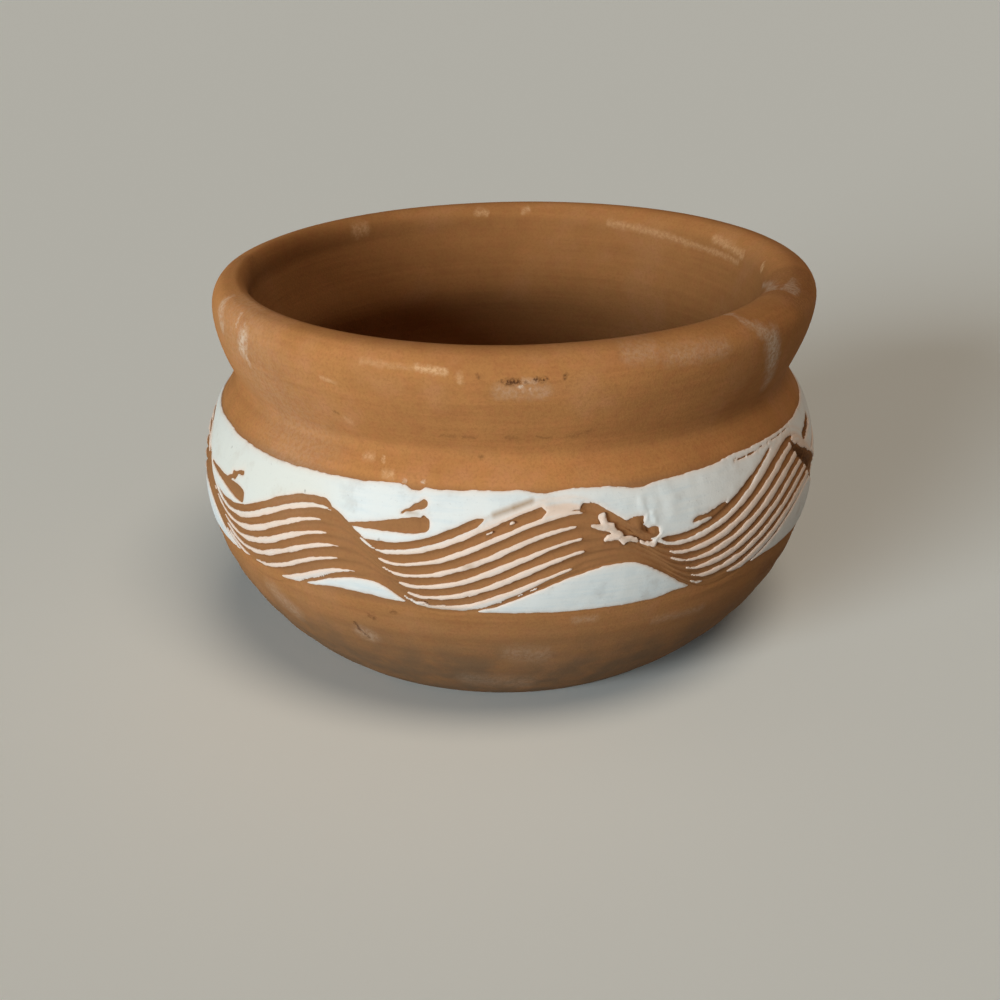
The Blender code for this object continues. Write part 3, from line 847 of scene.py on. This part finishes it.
def tail_marks(angle, height):
    """Distance inside the turning marks, and their depth, which grows towards the blunt end."""
    inside = np.full(np.shape(angle), -1.0)
    depth = np.zeros(np.shape(angle))
    for wave, (start, span, low, rise) in TAILS.items():
        length = math.radians(span) * BELLY_RADIUS
        along = wrap(angle - TURN_ANGLES[2 * wave] - math.radians(start)) * BELLY_RADIUS
        share = np.clip(along / length, 0, 1)
        half = TAIL_WIDTH / 2 * np.interp(share, TAIL_SHARES, TAIL_WIDTHS)
        aside = np.abs(height - TURN_HEIGHTS[2 * wave] - low - share * rise)
        within = np.minimum(half - aside, length - along)
        past_side = np.maximum(aside - half + TAIL_CORNER, 0)
        past_end = np.maximum(along - length + TAIL_CORNER, 0)
        corner = np.hypot(past_side, past_end)
        within = np.where(along > length - TAIL_CORNER, np.minimum(within, TAIL_CORNER - corner), within)
        within = np.where(along < 0, -np.hypot(np.maximum(aside - half, 0), along), within)
        inside = np.maximum(inside, within)
        depth = np.maximum(depth, TAIL_DEPTH * share**2 * np.clip(within / TAIL_EDGE, 0, 1))
    return inside, depth


def strokes(angle, height, marks):
    """Distance inside the nearest of a list of strokes, and the depth or height that it gives."""
    place = angle, height
    for seed, (size, reach) in enumerate(WARPS.items()):
        angle = angle + reach / BELLY_RADIUS * ripple(*place, size, 41 + 2 * seed)
        height = height + reach * ripple(*place, size, 42 + 2 * seed)
    inside = np.full(np.shape(angle), -1.0)
    amount = np.zeros(np.shape(angle))
    for start, end, half_start, half_end, size in marks:
        within = stroke(angle, height, start, end, half_start, half_end)
        inside = np.maximum(inside, within)
        share = np.clip(within / max(half_start, half_end), 0, 1)
        amount = np.maximum(amount, size * share * share * (3 - 2 * share))
    return inside, amount


print(len(TAILS), "turning marks,", len(BARE_STROKES), "bare strokes and", len(DABS), "dabs")

# %% [markdown]
# ## Edges of the band
# The band was brushed while the pot turned, so its edges wander. Each is a list of a few places where the
# edge lies above or below its mean height, joined by half cosines, with fine noise on top.

# %% Band edges
UPPER_EDGE = (
    (-110, 0.0), (-68.7, -0.00015), (-57.8, -0.00044), (-45.4, -0.00052), (-35.3, -0.00026),
    (-26.9, 0.0), (-19.4, 0.0004), (-18.6, 0.0003), (-16.9, -0.0003), (-15.8, -0.00034),
    (-14.4, 0.0002), (-12.2, 0.0001), (-2.1, 0.0002), (1.2, 0.0004), (4.6, -0.0002),
    (9.7, 0.0002), (14.8, 0.00016), (21.9, -0.00077), (25.9, -0.00033), (36.6, -0.0001),
    (41.9, 0.0003), (54.7, 0.0002), (64.9, 0.0), (105, 0.0003), (150, -0.0004), (200, 0.0004),
)
LOWER_EDGE = (
    (-110, -0.0003), (-60.7, -0.0006), (-47.7, -0.0002), (-42.3, -0.0009), (-35.9, 0.0),
    (-29.3, 0.00106), (-23.5, 0.0010), (-18.2, 0.0006), (-11.4, -0.0001), (-1.5, -0.00037),
    (13.3, -0.0006), (24.0, -0.0006), (29.7, 0.0001), (38.4, 0.00025), (43.0, -0.0002),
    (50.0, 0.0001), (58.0, -0.0001), (66.0, -0.0004), (100, 0.0), (150, 0.0006), (205, -0.0005),
)


def wandering(angle, points):
    """A height that runs smoothly through points round the pot and closes on itself."""
    angles, heights = np.array(points + ((points[0][0] + 360, points[0][1]),)).T
    angles = np.radians(angles)
    place = angles[0] + np.mod(angle - angles[0], math.tau)
    left = np.clip(np.searchsorted(angles, place, side="right") - 1, 0, len(angles) - 2)
    phase = math.pi * (place - angles[left]) / (angles[left + 1] - angles[left])
    return heights[left] + (heights[left + 1] - heights[left]) * (1 - np.cos(phase)) / 2


print("the band is", round(BAND_TOP - BAND_BOTTOM, 4), "wide")

# %% [markdown]
# ## The field of slip
# A fine grid over the band says at every place how far inside the slip it is. From that follow the
# outline, how high the slip stands, where it is creamy, and where clay shines through.

# %% Slip field
FIELD_COLUMNS = 1500
FIELD_LOW, FIELD_HIGH = 0.0255, 0.0495
CELL = math.tau * BELLY_RADIUS / FIELD_COLUMNS
FIELD_ROWS = round((FIELD_HIGH - FIELD_LOW) / CELL) + 1
RAGGED = {0.0004: 0.00003, 0.0008: 0.00006, 0.0022: 0.00009}  # sizes of the noise and how far it reaches
SLIP_LIFT = 0.00012
SLIP_ROUNDING = 0.00022
EDGE_STEP = 0.00005
THIN_PLACES = (
    ((-4.4, 0.0440), (-2.9, 0.0447), 0.0006, 0.0005, 0.25),
    ((-2.9, 0.0446), (0.1, 0.0456), 0.0008, 0.0008, 0.80),
    ((0.1, 0.0456), (3.2, 0.0466), 0.0008, 0.0007, 0.95),
    ((-17.2, 0.0442), (-15.4, 0.0441), 0.0007, 0.0006, 0.55),
    ((33.0, 0.0397), (37.5, 0.0404), 0.0008, 0.0007, 0.45),
    ((4.8, 0.0466), (7.8, 0.0456), 0.0014, 0.0014, 0.12),
    ((7.8, 0.0456), (11.2, 0.0446), 0.0014, 0.0009, 0.16),
    ((-14.5, 0.0280), (-6.4, 0.0281), 0.0008, 0.0006, 0.50),
    ((30.3, 0.0288), (42.8, 0.0277), 0.0006, 0.0005, 0.40),
    ((18.1, 0.0398), (20.6, 0.0387), 0.0007, 0.0006, 0.50),
    ((13.0, 0.0422), (15.0, 0.0420), 0.0007, 0.0006, 0.35),
    ((15.8, 0.0416), (17.8, 0.0404), 0.0007, 0.0006, 0.40),
    ((-7.3, 0.0362), (-6.3, 0.0364), 0.0007, 0.0007, 0.45),
)

field_angles = np.arange(FIELD_COLUMNS) * math.tau / FIELD_COLUMNS - math.pi
field_heights = FIELD_LOW + np.arange(FIELD_ROWS) * CELL
grid_angle, grid_height = np.meshgrid(field_angles, field_heights)


def slip_depth_inside(angle, height):
    """Distance from the nearest edge of the slip: positive on slip and negative on bare clay."""
    noise = 0.0
    for seed, (size, reach) in enumerate(RAGGED.items()):
        noise = noise + reach * ripple(angle, height, size, 21 + seed)
    top = BAND_TOP + wandering(angle, UPPER_EDGE) - height
    bottom = height - BAND_BOTTOM - wandering(angle, LOWER_EDGE)
    inside = np.minimum(top, bottom)
    inside = np.minimum(inside, -comb_marks(angle, height)[0])
    inside = np.minimum(inside, -tail_marks(angle, height)[0])
    inside = np.minimum(inside, -strokes(angle, height, BARE_STROKES)[0])
    return np.maximum(inside, strokes(angle, height, DABS)[0]) + noise


field = slip_depth_inside(grid_angle, grid_height)
print("slip covers", round(100 * float((field > 0).mean())), "percent of a grid of", field.shape)

# %% [markdown]
# ## Cutting the slip out of the grid
# Every square of the grid is two triangles. A triangle that is all slip is kept, and one that the edge
# crosses is cut along the edge. The pieces that hang together are then found and named after the node
# they stand for: the field above the waves, an island below each crest, and the ridges that the comb left
# between its teeth.


# %% Cut and sort the slip
def cut_triangles(values, columns):
    """Triangles inside the edge, the two grid points of each new point, and its share between them."""
    rows = len(values) // columns
    row, column = np.meshgrid(np.arange(rows - 1), np.arange(columns), indexing="ij")
    corner = (row * columns + column).ravel()
    beside = (row * columns + (column + 1) % columns).ravel()
    triangles = np.vstack([
        np.column_stack([corner, beside, beside + columns]),
        np.column_stack([corner, beside + columns, corner + columns]),
    ])
    slip = values[triangles] > 0
    count = slip.sum(1)
    whole = triangles[count == 3]
    odd = np.where(count == 1, slip.argmax(1), slip.argmin(1))
    turned = np.take_along_axis(triangles, (odd[:, None] + np.arange(3)) % 3, 1)
    one, two = turned[count == 1], turned[count == 2]
    pairs = np.vstack([one[:, [0, 1]], one[:, [0, 2]], two[:, [0, 1]], two[:, [0, 2]]])
    keys, new = np.unique(np.sort(pairs, 1), axis=0, return_inverse=True)
    new = new.ravel() + len(values)
    a, b, c, d = np.split(new, np.cumsum([len(one), len(one), len(two)]))
    tips = np.column_stack([one[:, 0], a, b])
    stumps = [np.column_stack([c, two[:, 1], two[:, 2]]), np.column_stack([c, two[:, 2], d])]
    share = values[keys[:, 0]] / (values[keys[:, 0]] - values[keys[:, 1]])
    return np.vstack([whole, tips, *stumps]), keys, np.clip(share, 0.04, 0.96)


def hanging_together(triangles, count):
    """One number for every group of triangles that share points."""
    label = np.arange(count)
    while True:
        before = label.copy()
        lowest = label[triangles].min(1)
        for corner in range(3):
            np.minimum.at(label, triangles[:, corner], lowest)
        label = label[label]
        if (label == before).all():
            return label[triangles[:, 0]]


flat_field = field.ravel()
triangles, cut_pairs, cut_share = cut_triangles(flat_field, FIELD_COLUMNS)
point_angle = grid_angle.ravel()
point_height = grid_height.ravel()
first, second = cut_pairs.T
cut_angle = point_angle[first] + cut_share * wrap(point_angle[second] - point_angle[first])
cut_height = point_height[first] + cut_share * (point_height[second] - point_height[first])
point_angle = np.concatenate([point_angle, cut_angle])
point_height = np.concatenate([point_height, cut_height])
point_inside = np.concatenate([np.maximum(flat_field, 0), np.zeros(len(cut_share))])
groups = hanging_together(triangles, len(point_angle))
print(len(triangles), "triangles of slip in", len(np.unique(groups)), "groups")

# %% [markdown]
# ## Names of the slip pieces
# Counting the teeth that pass above a place tells which ridge it is on, and the middle of each quick fall
# divides one wave from the next. A group takes the name that most of its points have.

# %% Name the slip pieces
SMALLEST_GROUP = 16
RIDGE_COUNT = TOOTH_COUNT - 1


def wave_at(angle, borders):
    place = borders[0] + np.mod(angle - borders[0], math.tau)
    return np.clip(np.searchsorted(borders, place, side="right") - 1, 0, WAVE_COUNT - 1)


def node_numbers(angle, height):
    """A number for the node that each place belongs to: the field, then the islands, then the ridges."""
    teeth_above = np.zeros(len(angle), int)
    for tooth in range(TOOTH_COUNT):
        teeth_above += comb_line(angle, tooth * TOOTH_PITCH - LAST_TOOTH)[0] > height
    troughs, crests = TURN_ANGLES[0:-1:2], TURN_ANGLES[1::2]
    falls = (np.roll(crests, 1) + troughs) / 2
    falls[0] = (crests[-1] - math.tau + troughs[0]) / 2
    shift = math.cos(COMB_TILT) / BELLY_RADIUS
    island = 1 + wave_at(angle - LAST_TOOTH * shift, troughs)
    along = (teeth_above - 0.5) * TOOTH_PITCH - LAST_TOOTH
    ridge = 1 + WAVE_COUNT + wave_at(angle - along * shift, falls) * RIDGE_COUNT + teeth_above - 1
    return np.where(teeth_above == 0, 0, np.where(teeth_above == TOOTH_COUNT, island, ridge))


NODE_NAMES = ["slip_upper_field"]
NODE_NAMES += [f"slip_lower_island_{wave + 1}" for wave in range(WAVE_COUNT)]
for wave in range(WAVE_COUNT):
    NODE_NAMES += [f"slip_ridge_{wave + 1}_{ridge + 1}" for ridge in range(RIDGE_COUNT)]
triangle_middle_height = point_height[triangles].mean(1)
triangle_nodes = node_numbers(point_angle[triangles[:, 0]], triangle_middle_height)
group_ids, group_of = np.unique(groups, return_inverse=True)
votes = np.zeros((len(group_ids), len(NODE_NAMES)), int)
np.add.at(votes, (group_of, triangle_nodes), 1)
group_node = np.where(votes.sum(1) >= SMALLEST_GROUP, votes.argmax(1), -1)
stands_for = {number: [] for number in np.unique(group_node[group_node >= 0])}
for number in range(len(NODE_NAMES)):
    best_group = np.where(group_node >= 0, votes[:, number], -1).argmax()
    owner = number if number in stands_for else group_node[best_group]
    stands_for[owner].append(NODE_NAMES[number])
print(len(stands_for), "slip pieces stand for", sum(map(len, stands_for.values())), "nodes")

# %% [markdown]
# ## Laying the slip on the belly
# Each piece is first a flat paper pattern: across is the way round the pot, up is the height, and the
# depth says how far a point stands out. A Geometry Nodes tree wraps the pattern on the ellipse of the
# belly. One tree does that for all the pieces, and a change of the belly's size in its inputs would carry
# all the slip along.


# %% Wrapping tree
def pattern_axes(tree):
    """Across, depth and up of the pattern's points."""
    place = node(tree, "GeometryNodeInputPosition").outputs[0]
    return node(tree, "ShaderNodeSeparateXYZ", {0: place}).outputs


def make_wrapping_tree():
    sizes = dict.fromkeys(("Belly Radius", "Belly Height", "Rise Above", "Rise Below", *HAND), "Float")
    inputs = {"Geometry": "Geometry", **sizes, "Material": "Material"}
    tree, given, result = new_tree("lay_slip_on_belly", inputs, {"Geometry": "Geometry"})
    pattern = pattern_axes(tree)
    angle = sums(tree, "DIVIDE", pattern["X"], given["Belly Radius"])
    above = sums(tree, "SUBTRACT", pattern["Z"], given["Belly Height"])
    is_above = sums(tree, "GREATER_THAN", above, 0.0)
    higher = sums(tree, "SUBTRACT", given["Rise Above"], given["Rise Below"])
    rise = sums(tree, "MULTIPLY_ADD", is_above, higher, given["Rise Below"])
    lift = sums(tree, "DIVIDE", above, rise)
    shrink = sums(tree, "SQRT", sums(tree, "SUBTRACT", 1.0, sums(tree, "MULTIPLY", lift, lift)))
    radius = sums(tree, "MULTIPLY", given["Belly Radius"], shrink)
    out = sums(tree, "DIVIDE", shrink, given["Belly Radius"])
    up = sums(tree, "DIVIDE", lift, rise)
    slant = sums(tree, "SQRT", sums(tree, "MULTIPLY_ADD", out, out, sums(tree, "MULTIPLY", up, up)))
    stand = sums(tree, "DIVIDE", pattern["Y"], slant)
    reach = sums(tree, "MULTIPLY_ADD", out, stand, radius)
    height = sums(tree, "MULTIPLY_ADD", up, stand, pattern["Z"])
    place = by_hand(tree, given, angle, reach, height)
    end_tree(tree, result, given["Geometry"], place, given["Material"])
    return tree


wrapping_tree = make_wrapping_tree()
BELLY_SIZES = {"Belly Radius": BELLY_RADIUS, "Belly Height": BELLY_HEIGHT}
BELLY_SIZES.update({"Rise Above": UPPER_RISE, "Rise Below": LOWER_RISE})
print("made", wrapping_tree.name)

# %% [markdown]
# ## The slip pieces
# A piece has a face that swells up from its edge, a flat back that is pressed into the clay, and a wall
# between them along the edge, so that it is a closed skin.

# %% Slip pieces
SLIP_ROOT = -0.00030
RIM_REACH, RIM_CREAM = 0.00035, 0.6
RIDGE_CREAM = 0.85
BRIDGE_HALF = 0.0006
BRUSH_DEPTH, BRUSH_SIZE = 0.00003, 0.0016

dab_lift = strokes(point_angle, point_height, DABS)[1] + strokes(point_angle, point_height, FOLDS)[1]
brush_marks = BRUSH_DEPTH * ripple(point_angle, point_height, BRUSH_SIZE, 31)
swelling = 1 - np.exp(-point_inside / SLIP_ROUNDING)
point_lift = EDGE_STEP + dab_lift + (SLIP_LIFT + brush_marks) * swelling
first_line, last_line = (comb_line(point_angle, a)[0] for a in (-LAST_TOOTH, LAST_TOOTH))
under_comb = np.minimum(first_line - point_height, point_height - last_line) / TOOTH_PITCH
narrow = np.clip(1.6 - point_inside / BRIDGE_HALF, 0, 1)
ridge_cream = RIDGE_CREAM * np.clip(2 * under_comb, 0, 1) * narrow
point_rim = np.maximum(RIM_CREAM * np.exp(-point_inside / RIM_REACH), ridge_cream)
point_thin = np.zeros(len(point_angle))
for start, end, half_start, half_end, share in THIN_PLACES:
    within = stroke(point_angle, point_height, start, end, half_start, half_end)
    point_thin = np.maximum(point_thin, share * np.clip(within / half_start, 0, 1))


def paint(mesh, name, values):
    layer = mesh.attributes.new(name, "FLOAT", "POINT")
    layer.data.foreach_set("value", np.asarray(values, np.float32))


def new_piece(name, points, faces):
    mesh = bpy.data.meshes.new(name)
    mesh.from_pydata(points, [], faces)
    piece = bpy.data.objects.new(name, mesh)
    bpy.context.scene.collection.objects.link(piece)
    return piece


def make_slip(name, faces, nodes):
    used, corners = np.unique(faces, return_inverse=True)
    corners = corners.reshape(-1, 3)
    count = len(used)
    sides = np.vstack([corners[:, [0, 1]], corners[:, [1, 2]], corners[:, [2, 0]]])
    keys = sides[:, 0] * count + sides[:, 1]
    edge = sides[~np.isin(keys, sides[:, 1] * count + sides[:, 0])]
    wall = np.column_stack([edge[:, 1], edge[:, 0], edge[:, 0] + count, edge[:, 1] + count])
    across = point_angle[used] * BELLY_RADIUS
    face = np.column_stack([across, point_lift[used], point_height[used]])
    back = np.column_stack([across, np.full(count, SLIP_ROOT), point_height[used]])
    polygons = corners.tolist() + (corners[:, ::-1] + count).tolist() + wall.tolist()
    piece = new_piece(name, np.vstack([face, back]), polygons)
    paint(piece.data, "rim", np.tile(point_rim[used], 2))
    paint(piece.data, "thin", np.tile(point_thin[used], 2))
    apply_tree(piece, wrapping_tree, {**BELLY_SIZES, **HAND, "Material": white_slip})
    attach(piece, "root")
    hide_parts(*nodes)
    return piece


slip_pieces = []
for number, nodes in stands_for.items():
    members = triangles[group_node[group_of] == number]
    slip_pieces.append(make_slip(f"{NODE_NAMES[number]}_coat", members, nodes))
largest = max(slip_pieces, key=lambda piece: len(piece.data.polygons))
print(len(slip_pieces), "pieces, the largest is", largest.name, len(largest.data.polygons), "faces")

# %% [markdown]
# ## The clay pot
# On the wheel a pot grows from one profile that is turned round the axis. The rows of the mesh run round
# the pot. In the band they follow the comb's own lines, so each groove lies along the rows and stays
# crisp with few faces. A second tree turns the pattern into the pot, wobbles it, and leans the collar as
# the potter's hand did.

# %% Rows of the pot
POT_COLUMNS = 480
ZONE_TOP, ZONE_BOTTOM = 0.0495, 0.0230
ROWS_PER_TOOTH = 7
FOOT_ROUNDING = 0.0022
DRAIN_ROUNDING = 0.001
BED_DEPTH = 0.00006

pot_angles = np.arange(POT_COLUMNS) * math.tau / POT_COLUMNS - math.pi


def bend(start, control, end, count):
    """Points of a quadratic curve from start to end."""
    t = np.linspace(0, 1, count)[:, None]
    return (1 - t) ** 2 * np.array(start) + 2 * t * (1 - t) * np.array(control) + t**2 * np.array(end)


def belly_rows(heights):
    return np.column_stack(belly_point(np.asarray(heights)))


def comb_zone_heights():
    """Heights of the rows between the shoulder and the lower belly, for every column."""
    reach = LAST_TOOTH + 0.6 * TOOTH_PITCH
    places = np.linspace(-reach, reach, TOOTH_COUNT * ROWS_PER_TOOTH + 8)
    lines = [comb_line(pot_angles, place)[0] for place in places]
    above = [ZONE_TOP + (lines[0] - ZONE_TOP) * t for t in np.linspace(0, 1, 9)[:-1]]
    below = [lines[-1] + (ZONE_BOTTOM - lines[-1]) * t for t in np.linspace(0, 1, 9)[1:]]
    return np.array(above + lines + below)


def pot_sections():
    """The pot's profile in sections: over the lip, down the outside, and up again through the inside."""
    lip_turn = np.linspace(0, math.pi, 20)
    lip_radius = RIM_RADIUS - LIP_WIDTH / 2 - LIP_WIDTH / 2 * np.cos(lip_turn)
    lip = np.column_stack([lip_radius, RIM_HEIGHT + LIP_RISE * np.sin(lip_turn)])
    neck = belly_rows([NECK_HEIGHT])[0]
    collar = bend(lip[-1], (RIM_RADIUS, NECK_HEIGHT + COLLAR_TURN), neck, 24)[1:]
    shoulder = belly_rows(np.linspace(NECK_HEIGHT, ZONE_TOP, 8)[1:-1])
    under = belly_rows(np.linspace(ZONE_BOTTOM, FOOT_ROUNDING, 18)[1:])
    foot = bend(under[-1], (FOOT_RADIUS, 0.0), (FOOT_RADIUS - FOOT_ROUNDING, 0.0), 6)[1:]
    drain_edge = DRAIN_RADIUS + DRAIN_ROUNDING
    base_radius = np.linspace(FOOT_RADIUS - FOOT_ROUNDING, drain_edge, 7)[1:]
    base = np.column_stack([base_radius, np.zeros(6)])
    drain = bend(base[-1], (DRAIN_RADIUS, 0.0), (DRAIN_RADIUS, DRAIN_ROUNDING), 4)[1:]
    drain_top = bend((DRAIN_RADIUS, FLOOR - DRAIN_ROUNDING), (DRAIN_RADIUS, FLOOR), (drain_edge, FLOOR), 4)
    inner_radius = BELLY_RADIUS - WALL
    floor_edge = inner_radius * math.sqrt(1 - float(belly_lift(FLOOR, WALL)) ** 2)
    floor = np.column_stack([np.linspace(drain_edge, floor_edge, 11)[1:-1], np.full(9, FLOOR)])
    throat_radius = neck[0] - WALL
    throat_share = math.sqrt(1 - (throat_radius / inner_radius) ** 2)
    throat_height = BELLY_HEIGHT + (UPPER_RISE - WALL) * throat_share
    heights = np.linspace(FLOOR, throat_height, 20)
    inside = np.column_stack([inner_radius * np.sqrt(1 - belly_lift(heights, WALL) ** 2), heights])
    throat = bend(inside[-1], (throat_radius, (throat_height + RIM_HEIGHT) / 2), lip[0], 16)[1:-1]
    return [lip, collar, shoulder], [under, foot, base, drain, drain_top, floor, inside, throat]


above_zone, below_zone = pot_sections()
zone_heights = comb_zone_heights()
row_count = sum(map(len, above_zone)) + len(zone_heights) + sum(map(len, below_zone))
print(row_count, "rows,", 2 * row_count * POT_COLUMNS, "triangles")

# %% [markdown]
# ## Cutting the comb's grooves into the rows
# The grooves and the turning marks are pressed into the rows of the band. Rows next to a sharp corner,
# such as the crease under the collar, are then averaged with their neighbours, as a wet sponge softens an
# edge. The mouth sits a little to the left in the lip, so the lip is thin and square there and broad at
# the right.

# %% Groove the rows
SOFT_CORNERS = {"crease": (3, 7), "throat": (5, 14), "floor": (2, 4)}  # rows each way, and passes
FADE_BOTTOM, FADE_TOP = 0.002, 0.001
MOUTH_SHIFT = 0.0014
LIP_SQUARE = 0.0009


def soften(rows, corner, reach, passes):
    """Averages the rows near a corner of the profile with their neighbours."""
    near = np.arange(corner - reach, corner + reach + 1) % len(rows)
    for _ in range(passes):
        before, after = rows[(near - 1) % len(rows)], rows[(near + 1) % len(rows)]
        rows[near] = rows[near] / 2 + (before + after) / 4


zone_angle = np.broadcast_to(pot_angles, zone_heights.shape)
groove_depth = comb_marks(zone_angle, zone_heights)[1]
tail_depth = tail_marks(zone_angle, zone_heights)[1]
stroke_depth = strokes(zone_angle, zone_heights, BARE_STROKES)[1]
mound_rise = strokes(zone_angle, zone_heights, MOUNDS)[1]
zone_cut = np.maximum(groove_depth, np.maximum(tail_depth, stroke_depth)) + BED_DEPTH - mound_rise
above_bottom = np.clip((zone_heights - ZONE_BOTTOM) / FADE_BOTTOM, 0, 1)
below_top = np.clip((ZONE_TOP - zone_heights) / FADE_TOP, 0, 1)
zone_cut *= above_bottom * below_top
zone = np.stack(belly_point(zone_heights, -zone_cut), axis=-1)


def all_round(rows):
    return np.repeat(np.asarray(rows)[:, None, :], POT_COLUMNS, axis=1)


pot_rows = np.concatenate([all_round(np.vstack(above_zone)), zone, all_round(np.vstack(below_zone))])
lip_rows, throat_rows = len(above_zone[0]), len(below_zone[-1])
corner_rows = {"crease": lip_rows + len(above_zone[1]) - 1, "throat": row_count - throat_rows - 1}
corner_rows["floor"] = corner_rows["throat"] - len(below_zone[-2]) + 1
for corner, (reach, passes) in SOFT_CORNERS.items():
    soften(pot_rows, corner_rows[corner], reach, passes)
lip_turn = np.linspace(0, math.pi, lip_rows)[:, None]
at_left = np.maximum(-np.sin(pot_angles), 0)
pot_rows[:lip_rows, :, 1] += LIP_SQUARE * np.maximum(np.sin(2 * lip_turn), 0) * at_left
mouth_share = np.zeros(row_count)
mouth_share[:lip_rows] = (1 + np.cos(lip_turn[:, 0])) / 2
mouth_share[-throat_rows:] = np.linspace(0, 1, throat_rows)
pot_rows[..., 0] -= MOUTH_SHIFT * mouth_share[:, None] * np.sin(pot_angles)
print("deepest cut", round(float(zone_cut.max()), 5))

# %% [markdown]
# ## Throwing tree
# The pattern's across is the angle, its depth is the radius and its up is the height. The tree turns each
# row round the axis, adds shallow throwing rings away from the band, and tilts the collar a little.

# %% Throw the pot
COLLAR = {"Collar Tilt": math.radians(0.5)}
COLLAR.update({"Neck Height": NECK_HEIGHT - 0.002, "Rim Height": NECK_HEIGHT + 0.006})
RINGS = {"Ring Depth": 0.00010, "Ring Spacing": 0.0042, "Ring Limit": BAND_BOTTOM - 0.002}


def make_throwing_tree():
    sizes = dict.fromkeys((*HAND, *COLLAR, *RINGS), "Float")
    inputs = {"Geometry": "Geometry", **sizes, "Material": "Material"}
    tree, given, result = new_tree("throw_on_the_wheel", inputs, {"Geometry": "Geometry"})
    pattern = pattern_axes(tree)
    height = pattern["Z"]
    turns = sums(tree, "DIVIDE", height, given["Ring Spacing"])
    wave = sums(tree, "SINE", sums(tree, "MULTIPLY", turns, math.tau))
    low = sums(tree, "LESS_THAN", height, given["Ring Limit"])
    ring = sums(tree, "MULTIPLY", sums(tree, "MULTIPLY", wave, given["Ring Depth"]), low)
    radius = sums(tree, "ADD", pattern["Y"], ring)
    collar = stretch(tree, height, given["Neck Height"], given["Rim Height"])
    across = sums(tree, "MULTIPLY", radius, sums(tree, "SINE", pattern["X"]))
    tilt = sums(tree, "MULTIPLY", across, sums(tree, "TANGENT", given["Collar Tilt"]))
    height = sums(tree, "MULTIPLY_ADD", tilt, collar, height)
    place = by_hand(tree, given, pattern["X"], radius, height)
    end_tree(tree, result, given["Geometry"], place, given["Material"])
    return tree


def make_pot():
    row, column = np.meshgrid(np.arange(row_count), np.arange(POT_COLUMNS), indexing="ij")
    lower, beside = (row + 1) % row_count * POT_COLUMNS, (column + 1) % POT_COLUMNS
    corners = [row * POT_COLUMNS + column, lower + column, lower + beside, row * POT_COLUMNS + beside]
    faces = np.stack(corners, axis=-1).reshape(-1, 4)
    angle = np.broadcast_to(pot_angles, pot_rows.shape[:2])
    points = np.column_stack([angle.ravel(), pot_rows.reshape(-1, 2)])
    pot = new_piece("clay_pot_thrown", points, faces.tolist())
    half_lip, inner_rows = len(above_zone[0]) // 2, sum(map(len, below_zone[-3:]))
    is_inside = (row < half_lip) | (row >= row_count - inner_rows)
    paint(pot.data, "inside", is_inside.ravel())
    apply_tree(pot, make_throwing_tree(), {**HAND, **COLLAR, **RINGS, "Material": fired_clay})
    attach(pot, "root")
    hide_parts("clay_pot")
    return pot


clay_pot = make_pot()
print("made", clay_pot.name, "with", len(clay_pot.data.polygons), "faces")

# %% [markdown]
# ## Floor and light
# The pot stands on a plain pale floor. Soft light falls on it from a window at the left and the front,
# low and far away, a warmer and weaker one from above, and a faint world fills the shade. Floor and
# world look pale to the camera but give less light than they show, so that little light comes up on the
# pot from below.

# %% Floor, lamps and world
FLOOR_SIZE = 6.0
FLOOR_PALE = (0.920, 0.965, 0.950, 1)
FLOOR_BOUNCE = (0.450, 0.445, 0.430, 1)
LAMPS = {  # azimuth, elevation and spread in degrees, strength and colour
    "window_light": (-40.0, 10.0, 30.0, 3.0, (0.93, 1.0, 1.03)),
    "ceiling_light": (28.0, 65.0, 30.0, 0.97, (1.0, 0.84, 0.68)),
}
WORLD_FILL = (0.030, 0.028, 0.026, 1)
WORLD_PALE = (0.440, 0.430, 0.385, 1)


def seen_rays(tree):
    """One for a ray from the camera or from a mirror or glass, nothing for one that only brings light."""
    rays = node(tree, "ShaderNodeLightPath").outputs
    mirrored = sums(tree, "MAXIMUM", rays["Is Glossy Ray"], rays["Is Transmission Ray"])
    return sums(tree, "MAXIMUM", rays["Is Camera Ray"], mirrored)


def make_floor():
    half = FLOOR_SIZE / 2
    corners = [(-half, -half, 0), (half, -half, 0), (half, half, 0), (-half, half, 0)]
    floor = new_piece("floor", corners, [(0, 1, 2, 3)])
    material, tree, shader, _ = new_finish("pale_floor", 0.95)
    shown = mix_colour(tree, seen_rays(tree), FLOOR_BOUNCE, FLOOR_PALE)
    tree.links.new(shown, shader.inputs["Base Color"])
    floor.data.materials.append(material)


def make_lamp(name, azimuth, elevation, spread, strength, colour):
    data = bpy.data.lights.new(name, "SUN")
    data.angle = math.radians(spread)
    data.energy = strength
    data.color = colour
    lamp = bpy.data.objects.new(name, data)
    bpy.context.scene.collection.objects.link(lamp)
    turn, rise = math.radians(azimuth), math.radians(elevation)
    way = Vector((math.sin(turn) * math.cos(rise), -math.cos(turn) * math.cos(rise), math.sin(rise)))
    lamp.matrix_world = Matrix.Translation(way) @ way.to_track_quat("Z", "Y").to_matrix().to_4x4()


def make_world():
    world = bpy.data.worlds.new("pale_room")
    world.use_nodes = True
    tree = world.node_tree
    shown = mix_colour(tree, seen_rays(tree), WORLD_FILL, WORLD_PALE)
    tree.links.new(shown, tree.nodes["Background"].inputs["Color"])
    bpy.context.scene.world = world


make_floor()
for lamp_name, lamp_values in LAMPS.items():
    make_lamp(lamp_name, *lamp_values)
make_world()
bpy.context.scene.view_settings.view_transform = "Standard"
print("lit by", ", ".join(LAMPS))
